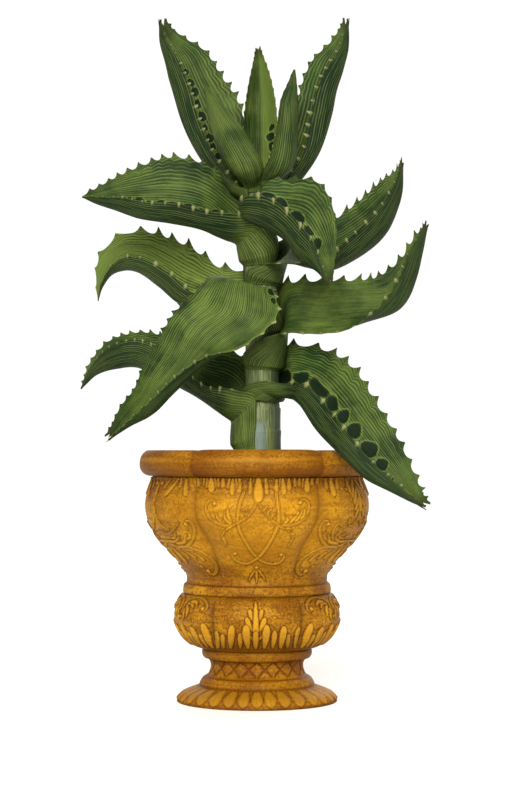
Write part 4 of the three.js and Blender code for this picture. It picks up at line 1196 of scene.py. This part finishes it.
def new_group(name, takes, gives):
    """A group with named sockets of given kinds: its shader, the sockets that it takes
    values from and those that it gives its results to."""
    tree = bpy.data.node_groups.new(name, "ShaderNodeTree")
    for way, sockets in (("INPUT", takes), ("OUTPUT", gives)):
        for label, kind in sockets.items():
            tree.interface.new_socket(name=label, in_out=way, socket_type="NodeSocket" + kind)
    given = tree.nodes.new("NodeGroupInput").outputs
    result = tree.nodes.new("NodeGroupOutput").inputs
    return Shader(tree), given, result


def speckle_group():
    """Speckle for every material: noise at a place stretched by a scale along each axis, and
    a mask that climbs from 0 where the noise is at low to 1 where it is at high."""
    shader, given, result = new_group(
        "speckle", {"Place": "Vector", "Scale": "Vector", "Detail": "Float",
                    "Roughness": "Float", "Low": "Float", "High": "Float"},
        {"Value": "Float", "Mask": "Float"})
    spot = shader.node("ShaderNodeVectorMath", {0: given["Place"], 1: given["Scale"]},
                       operation="MULTIPLY").outputs[0]
    value = shader.node("ShaderNodeTexNoise", {"Vector": spot, "Scale": 1.0,
                                               "Detail": given["Detail"],
                                               "Roughness": given["Roughness"]}).outputs["Fac"]
    shader.put(value, result["Value"])
    shader.put(shader.between(value, given["Low"], given["High"]), result["Mask"])
    return shader.tree


def new_material(name):
    """A material, its shader and its surface node."""
    material = bpy.data.materials.new(name)
    material.use_nodes = True
    shader = Shader(material.node_tree)
    shader.tree.nodes.clear()
    surface = shader.node("ShaderNodeBsdfPrincipled")
    shader.node("ShaderNodeOutputMaterial", {"Surface": surface.outputs[0]})
    return material, shader, surface


def group_material(name, group, labels, strength, distance, specular):
    """A material that hands a group the named values at the points and the place on the
    object, and shows what the group works out."""
    material, shader, surface = new_material(name)
    inputs = {"Object": shader.object_place()}
    for label in labels:
        mark = shader.node("ShaderNodeAttribute", attribute_name=label.lower())
        inputs[label] = mark.outputs["Vector"]
    made = shader.node("ShaderNodeGroup", inputs, node_tree=group).outputs
    shader.finish(surface, made["Colour"], made["Roughness"], made["Height"], strength, distance,
                  specular)
    return material


def leaf_group():
    """Leaf skin: painted light and shade by each leaf's tone, fine dark lines along the leaf that
    break off and start again, painted shade over the back and on the right of the base that clasps
    the stem, painted shadow in pits inside a pale strip, thorns and worn tips."""
    shader, given, result = new_group(
        "leaf skin", dict.fromkeys(LEAF_MARKS + ("Object",), "Vector"), SURFACE)
    maths, times, between, speckle_at = shader.maths, shader.times, shader.between, shader.speckle
    line_place, spot = given["Place"], given["Object"]
    across, _, face = shader.parts(line_place)
    tooth, hollow, pale_tooth = shader.parts(given["Detail"])
    to_tip, from_base, frayed = shader.parts(given["Ends"])
    tone, strip, _ = shader.parts(given["Kind"])

    warp, warp_mask = speckle_at(spot, (26, 26, 26), 3.0, 0.55, 0.35, 0.65)
    wave = maths("PINGPONG", maths("MULTIPLY_ADD", across, 1 / LINE_PITCH, warp), 0.5)
    breaks, unbroken = speckle_at(line_place, (0.3, 0.022, 5.0), 2.0, 0.6, 0.34, 0.52)
    fine, fine_mask = speckle_at(line_place, (1.1, 0.016, 7.0), 2.0, 0.6, 0.5, 0.36)
    broad_mask = speckle_at(line_place, (0.1, 0.012, 3.0), 2.0, 0.5, 0.3, 0.7)[1]
    grain_mask = speckle_at(spot, (700, 700, 700), 2.0, 0.6, 0.54, 0.7)[1]
    near_stem = between(from_base, 34.0, 2.0)
    clasped = between(from_base, 16.0, -2.0)
    right_side = between(shader.parts(spot)[0], 0.004, 0.024)
    lift = times(warp_mask, maths("MULTIPLY_ADD", tone, 0.75, 0.1))
    lit = maths("MAXIMUM", maths("SUBTRACT", tone, 1.0), 0.0)
    away_from_stem = maths("SUBTRACT", 1.0, near_stem)
    inner = maths("SUBTRACT", 1.0, face)
    rough_edge = maths("MULTIPLY_ADD", fine, 0.3, maths("ADD", hollow, -0.15))

    colour = shader.layered(LEAF_DARK, [
        (LEAF_MIDDLE, broad_mask),
        # Painted light by each leaf's tone, in blotches.
        (LEAF_LIGHT, maths("ADD", lift, lit, clamp=True)),
        # Painted shade over the outer face, away from the stem.
        (LEAF_BACK_SHADE, away_from_stem, face, 0.88),
        (LEAF_STALK, near_stem, 0.35),
        # Painted shade on the right of the base that clasps the stem.
        (LEAF_BACK_SHADE, clasped, right_side, 0.6),
        (LEAF_LINE, fine_mask, 0.45),
        (LEAF_PALE, between(wave, 0.3, 0.46), between(breaks, 0.62, 0.46), 0.32),
        (LEAF_LINE, between(wave, 0.2, 0.04), unbroken, 0.84),
        (LEAF_LINE, grain_mask, 0.3),
        (LEAF_LIGHT, strip, inner, 0.6),
        # Painted shadow in the pits between the near teeth.
        (LEAF_PIT_SHADOW, between(rough_edge, 1.04, 0.84), inner, 0.92),
        (LEAF_PALE, between(rough_edge, 0.98, 1.08), between(rough_edge, 1.3, 1.1), inner, 0.35),
        (THORN_DARK, between(tooth, 0.3, 0.8), 0.75),
        (THORN_PALE, between(pale_tooth, 0.3, 0.7), 0.8),
        (THORN_DARK, between(to_tip, 15.0, 2.0), frayed, 0.7),
    ])
    shader.put(colour, result["Colour"])
    shader.put(maths("MULTIPLY_ADD", wave, 0.8, times(fine, 0.8)), result["Height"])
    shader.put(maths("MULTIPLY_ADD", fine, 0.2, 0.45), result["Roughness"])
    return shader.tree


def glaze_group():
    """Ochre glaze: a fine brown grain over gold. Painted shade darkens it beside the ornament, in
    creases and all over the foot and the rim, and a painted highlight brightens it on raised work
    and towards the middle of the belly."""
    shader, given, result = new_group(
        "ochre glaze", dict.fromkeys(GLAZE_MARKS + ("Object",), "Vector"), SURFACE)
    maths, times, between, speckle_at = shader.maths, shader.times, shader.between, shader.speckle
    raised, outline, hollow = shader.parts(given["Relief"])
    spot = given["Object"]
    x, _, z = shader.parts(spot)
    grain, grain_mask = speckle_at(spot, (700, 700, 700), 2.0, 0.65, 0.54, 0.68)
    speck, speck_mask = speckle_at(spot, (320, 320, 400), 3.0, 0.75, 0.48, 0.6)
    cloud_mask = speckle_at(spot, (26, 26, 34), 4.0, 0.55, 0.32, 0.68)[1]
    stroke_mask = speckle_at(spot, (22, 22, 380), 2.0, 0.5, 0.48, 0.64)[1]
    # Raised work takes less of its painted highlight where painted shade lies.
    outside_painted_shade = maths("MULTIPLY_ADD", hollow, -0.5, 0.62, clamp=True)
    # Painted shade from 62 mm down over the neck and the foot, and from 221 mm up over the rim.
    thick = maths("MAXIMUM", between(z, 0.062, 0.050), between(z, 0.221, 0.229))
    # A painted highlight over the belly, strongest over the middle of the front and the back.
    near_middle = between(maths("ABSOLUTE", x), 0.15, 0.02)

    # Over the grain: painted shade in hollows, in creases and beside the ornament, a painted
    # highlight on raised work and over the belly, and painted shade over the foot and the rim.
    colour = shader.layered(GLAZE_DARK, [
        (GLAZE_GOLD, cloud_mask),
        (GLAZE_STROKE, stroke_mask, 0.5),
        (GLAZE_SPECK, speck_mask, 0.72),
        (GLAZE_GRAIN, grain_mask, 0.5),
        (GLAZE_HOLLOW_SHADE, hollow, 0.85),
        (GLAZE_RAISED_HIGHLIGHT, between(raised, 0.4, 2.0), outside_painted_shade),
        (GLAZE_RELIEF_SHADE, outline, 0.94),
        (GLAZE_FOOT_RIM_SHADE, thick, 0.42),
        (GLAZE_BELLY_HIGHLIGHT, near_middle, between(z, 0.125, 0.155), between(z, 0.222, 0.2), 0.2),
    ])
    shader.put(colour, result["Colour"])
    shader.put(maths("MULTIPLY_ADD", grain, 0.5, times(speck, 0.7)), result["Height"])
    shader.put(maths("MULTIPLY_ADD", speck, 0.25, 0.42), result["Roughness"])
    return shader.tree


def earth_material():
    """Dark potting soil: crumbs of two browns with a few pale grains."""
    material, shader, surface = new_material("soil")
    spot = shader.object_place()
    crumbs, crumb_mask = shader.speckle(spot, (260, 260, 260), 4.0, 0.65, 0.35, 0.65)
    lump_mask = shader.speckle(spot, (60, 60, 60), 3.0, 0.5, 0.4, 0.7)[1]
    grit = shader.node("ShaderNodeTexVoronoi", {"Vector": spot, "Scale": 190.0}).outputs[0]
    colour = shader.layered(SOIL_DARK, [
        (SOIL_PALE, crumb_mask),
        (SOIL_LUMP, lump_mask, 0.5),
        (SOIL_GRIT, shader.between(grit, 0.16, 0.1)),
    ])
    shader.finish(surface, colour, 0.95, crumbs, 0.8, 0.002)
    return material


def bark_material():
    """Grey-green stem with upright lines, a blue-grey bloom low on its front and shade on
    its right."""
    material, shader, surface = new_material("stem skin")
    between = shader.between
    spot = shader.object_place()
    lines, groove_mask = shader.speckle(spot, (620, 620, 16), 2.0, 0.6, 0.5, 0.38)
    cloud_mask = shader.speckle(spot, (40, 40, 22), 3.0, 0.55, 0.35, 0.65)[1]
    x, y, z = shader.parts(spot)
    from_bloom = shader.maths("ABSOLUTE", shader.maths("ADD", x, 0.001))
    colour = shader.layered(BARK_DARK, [
        (BARK_PALE, cloud_mask),
        (BARK_GROOVE, groove_mask, 0.75),
        (BARK_STREAK, between(lines, 0.56, 0.68), 0.45),
        (BARK_BLOOM, between(from_bloom, 0.013, 0.005), between(z, 0.282, 0.272),
         between(y, 0.0, -0.012), 0.7),
        (BARK_SHADE, between(x, 0.008, 0.024)),
    ])
    shader.finish(surface, colour, 0.6, lines, 0.6, 0.0008)
    return material


speckle = speckle_group()
skin = group_material("leaf skin", leaf_group(), LEAF_MARKS, 0.5, 0.0008, 0.07)
glaze = group_material("ochre glaze", glaze_group(), GLAZE_MARKS, 0.35, 0.0006, 0.08)
earth = earth_material()
bark = bark_material()

foot_piece()
wall_piece("pot_bulge", BULGE_CURVES, BULGE_SEAMS, BULGE_PAINTED_SHADE, FRONT_BULGE, SIDE_BULGE,
           SIDE_BULGE)
wall_piece("pot_belly", BELLY_CURVES, BELLY_SEAMS, BELLY_PAINTED_SHADE, FRONT_BELLY,
           HUSK_CHAIN + SIDE_SCROLLS, LEAF_FRINGE + SIDE_SCROLLS)
rim_piece()
soil_piece()
stem_piece()
for number, leaf in enumerate(LEAVES):
    leaf_piece(leaf, FIRST_SEED + number)

# CAD nodes carry the finish of what stands for them.
for name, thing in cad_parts.items():
    finish = {"pot": glaze, "soil": earth, "stem": bark}.get(name, skin)
    thing.data.materials.clear()
    thing.data.materials.append(finish)


# Floor, light and camera.

def stage_floor():
    """A wide pale floor."""
    mesh = bpy.data.meshes.new("floor")
    mesh.from_pydata([(-6, -6, 0), (6, -6, 0), (6, 6, 0), (-6, 6, 0)], [], [(0, 1, 2, 3)])
    floor = bpy.data.objects.new("floor", mesh)
    bpy.context.scene.collection.objects.link(floor)
    material, shader, surface = new_material("pale floor")
    cloud = shader.speckle(shader.object_place(), (3, 3, 3), 2.0, 0.5)[0]
    tint = shader.layered(shade(246, 245, 240), [(shade(250, 249, 245), cloud)])
    shader.put(tint, surface.inputs["Base Color"])
    shader.put(0.9, surface.inputs["Roughness"])
    mesh.materials.append(material)


def soft_sun(name, place, strength, spread, colour):
    """A wide, soft light that falls from the direction of place towards the pot's foot."""
    data = bpy.data.lights.new(name, "SUN")
    data.energy = strength
    data.angle = np.radians(spread)
    data.color = colour
    made = bpy.data.objects.new(name, data)
    made.location = place
    made.rotation_euler = (-made.location).to_track_quat("-Z", "Y").to_euler()
    bpy.context.scene.collection.objects.link(made)


ROOM_LIGHT = 0.7
SEEN_WHITE = 1.05
EYE_LEVEL = 0.2507

stage_floor()
soft_sun("key", (-0.2, -2.2, 1.05), 4.3, 35, (1.0, 0.98, 0.94))
soft_sun("fill", (0.5, 2.0, 1.3), 1.6, 60, (1.0, 0.99, 0.96))

# The world looks white to the camera and lights the part more weakly.
world = bpy.data.worlds.new("pale room")
bpy.context.scene.world = world
world.use_nodes = True
backdrop = world.node_tree.nodes["Background"]
backdrop.inputs[0].default_value = (1.0, 0.995, 0.98, 1)
room = Shader(world.node_tree)
seen = room.node("ShaderNodeLightPath").outputs["Is Camera Ray"]
light = room.node("ShaderNodeMapRange", {0: seen, 3: ROOM_LIGHT, 4: SEEN_WHITE})
room.put(light.outputs[0], backdrop.inputs[1])
bpy.context.scene.view_settings.view_transform = "Standard"

# Eye level with the rim, two metres off; 800 picture rows span 800 mm at the pot's axis.
camera = bpy.data.cameras.new("camera")
camera.lens = 90
camera.sensor_width = 36
camera.shift_y = 50 / 800
viewer = bpy.data.objects.new("camera", camera)
viewer.location = (0, -2.0, EYE_LEVEL)
viewer.rotation_euler = (np.pi / 2, 0, 0)
bpy.context.scene.collection.objects.link(viewer)
bpy.context.scene.camera = viewer
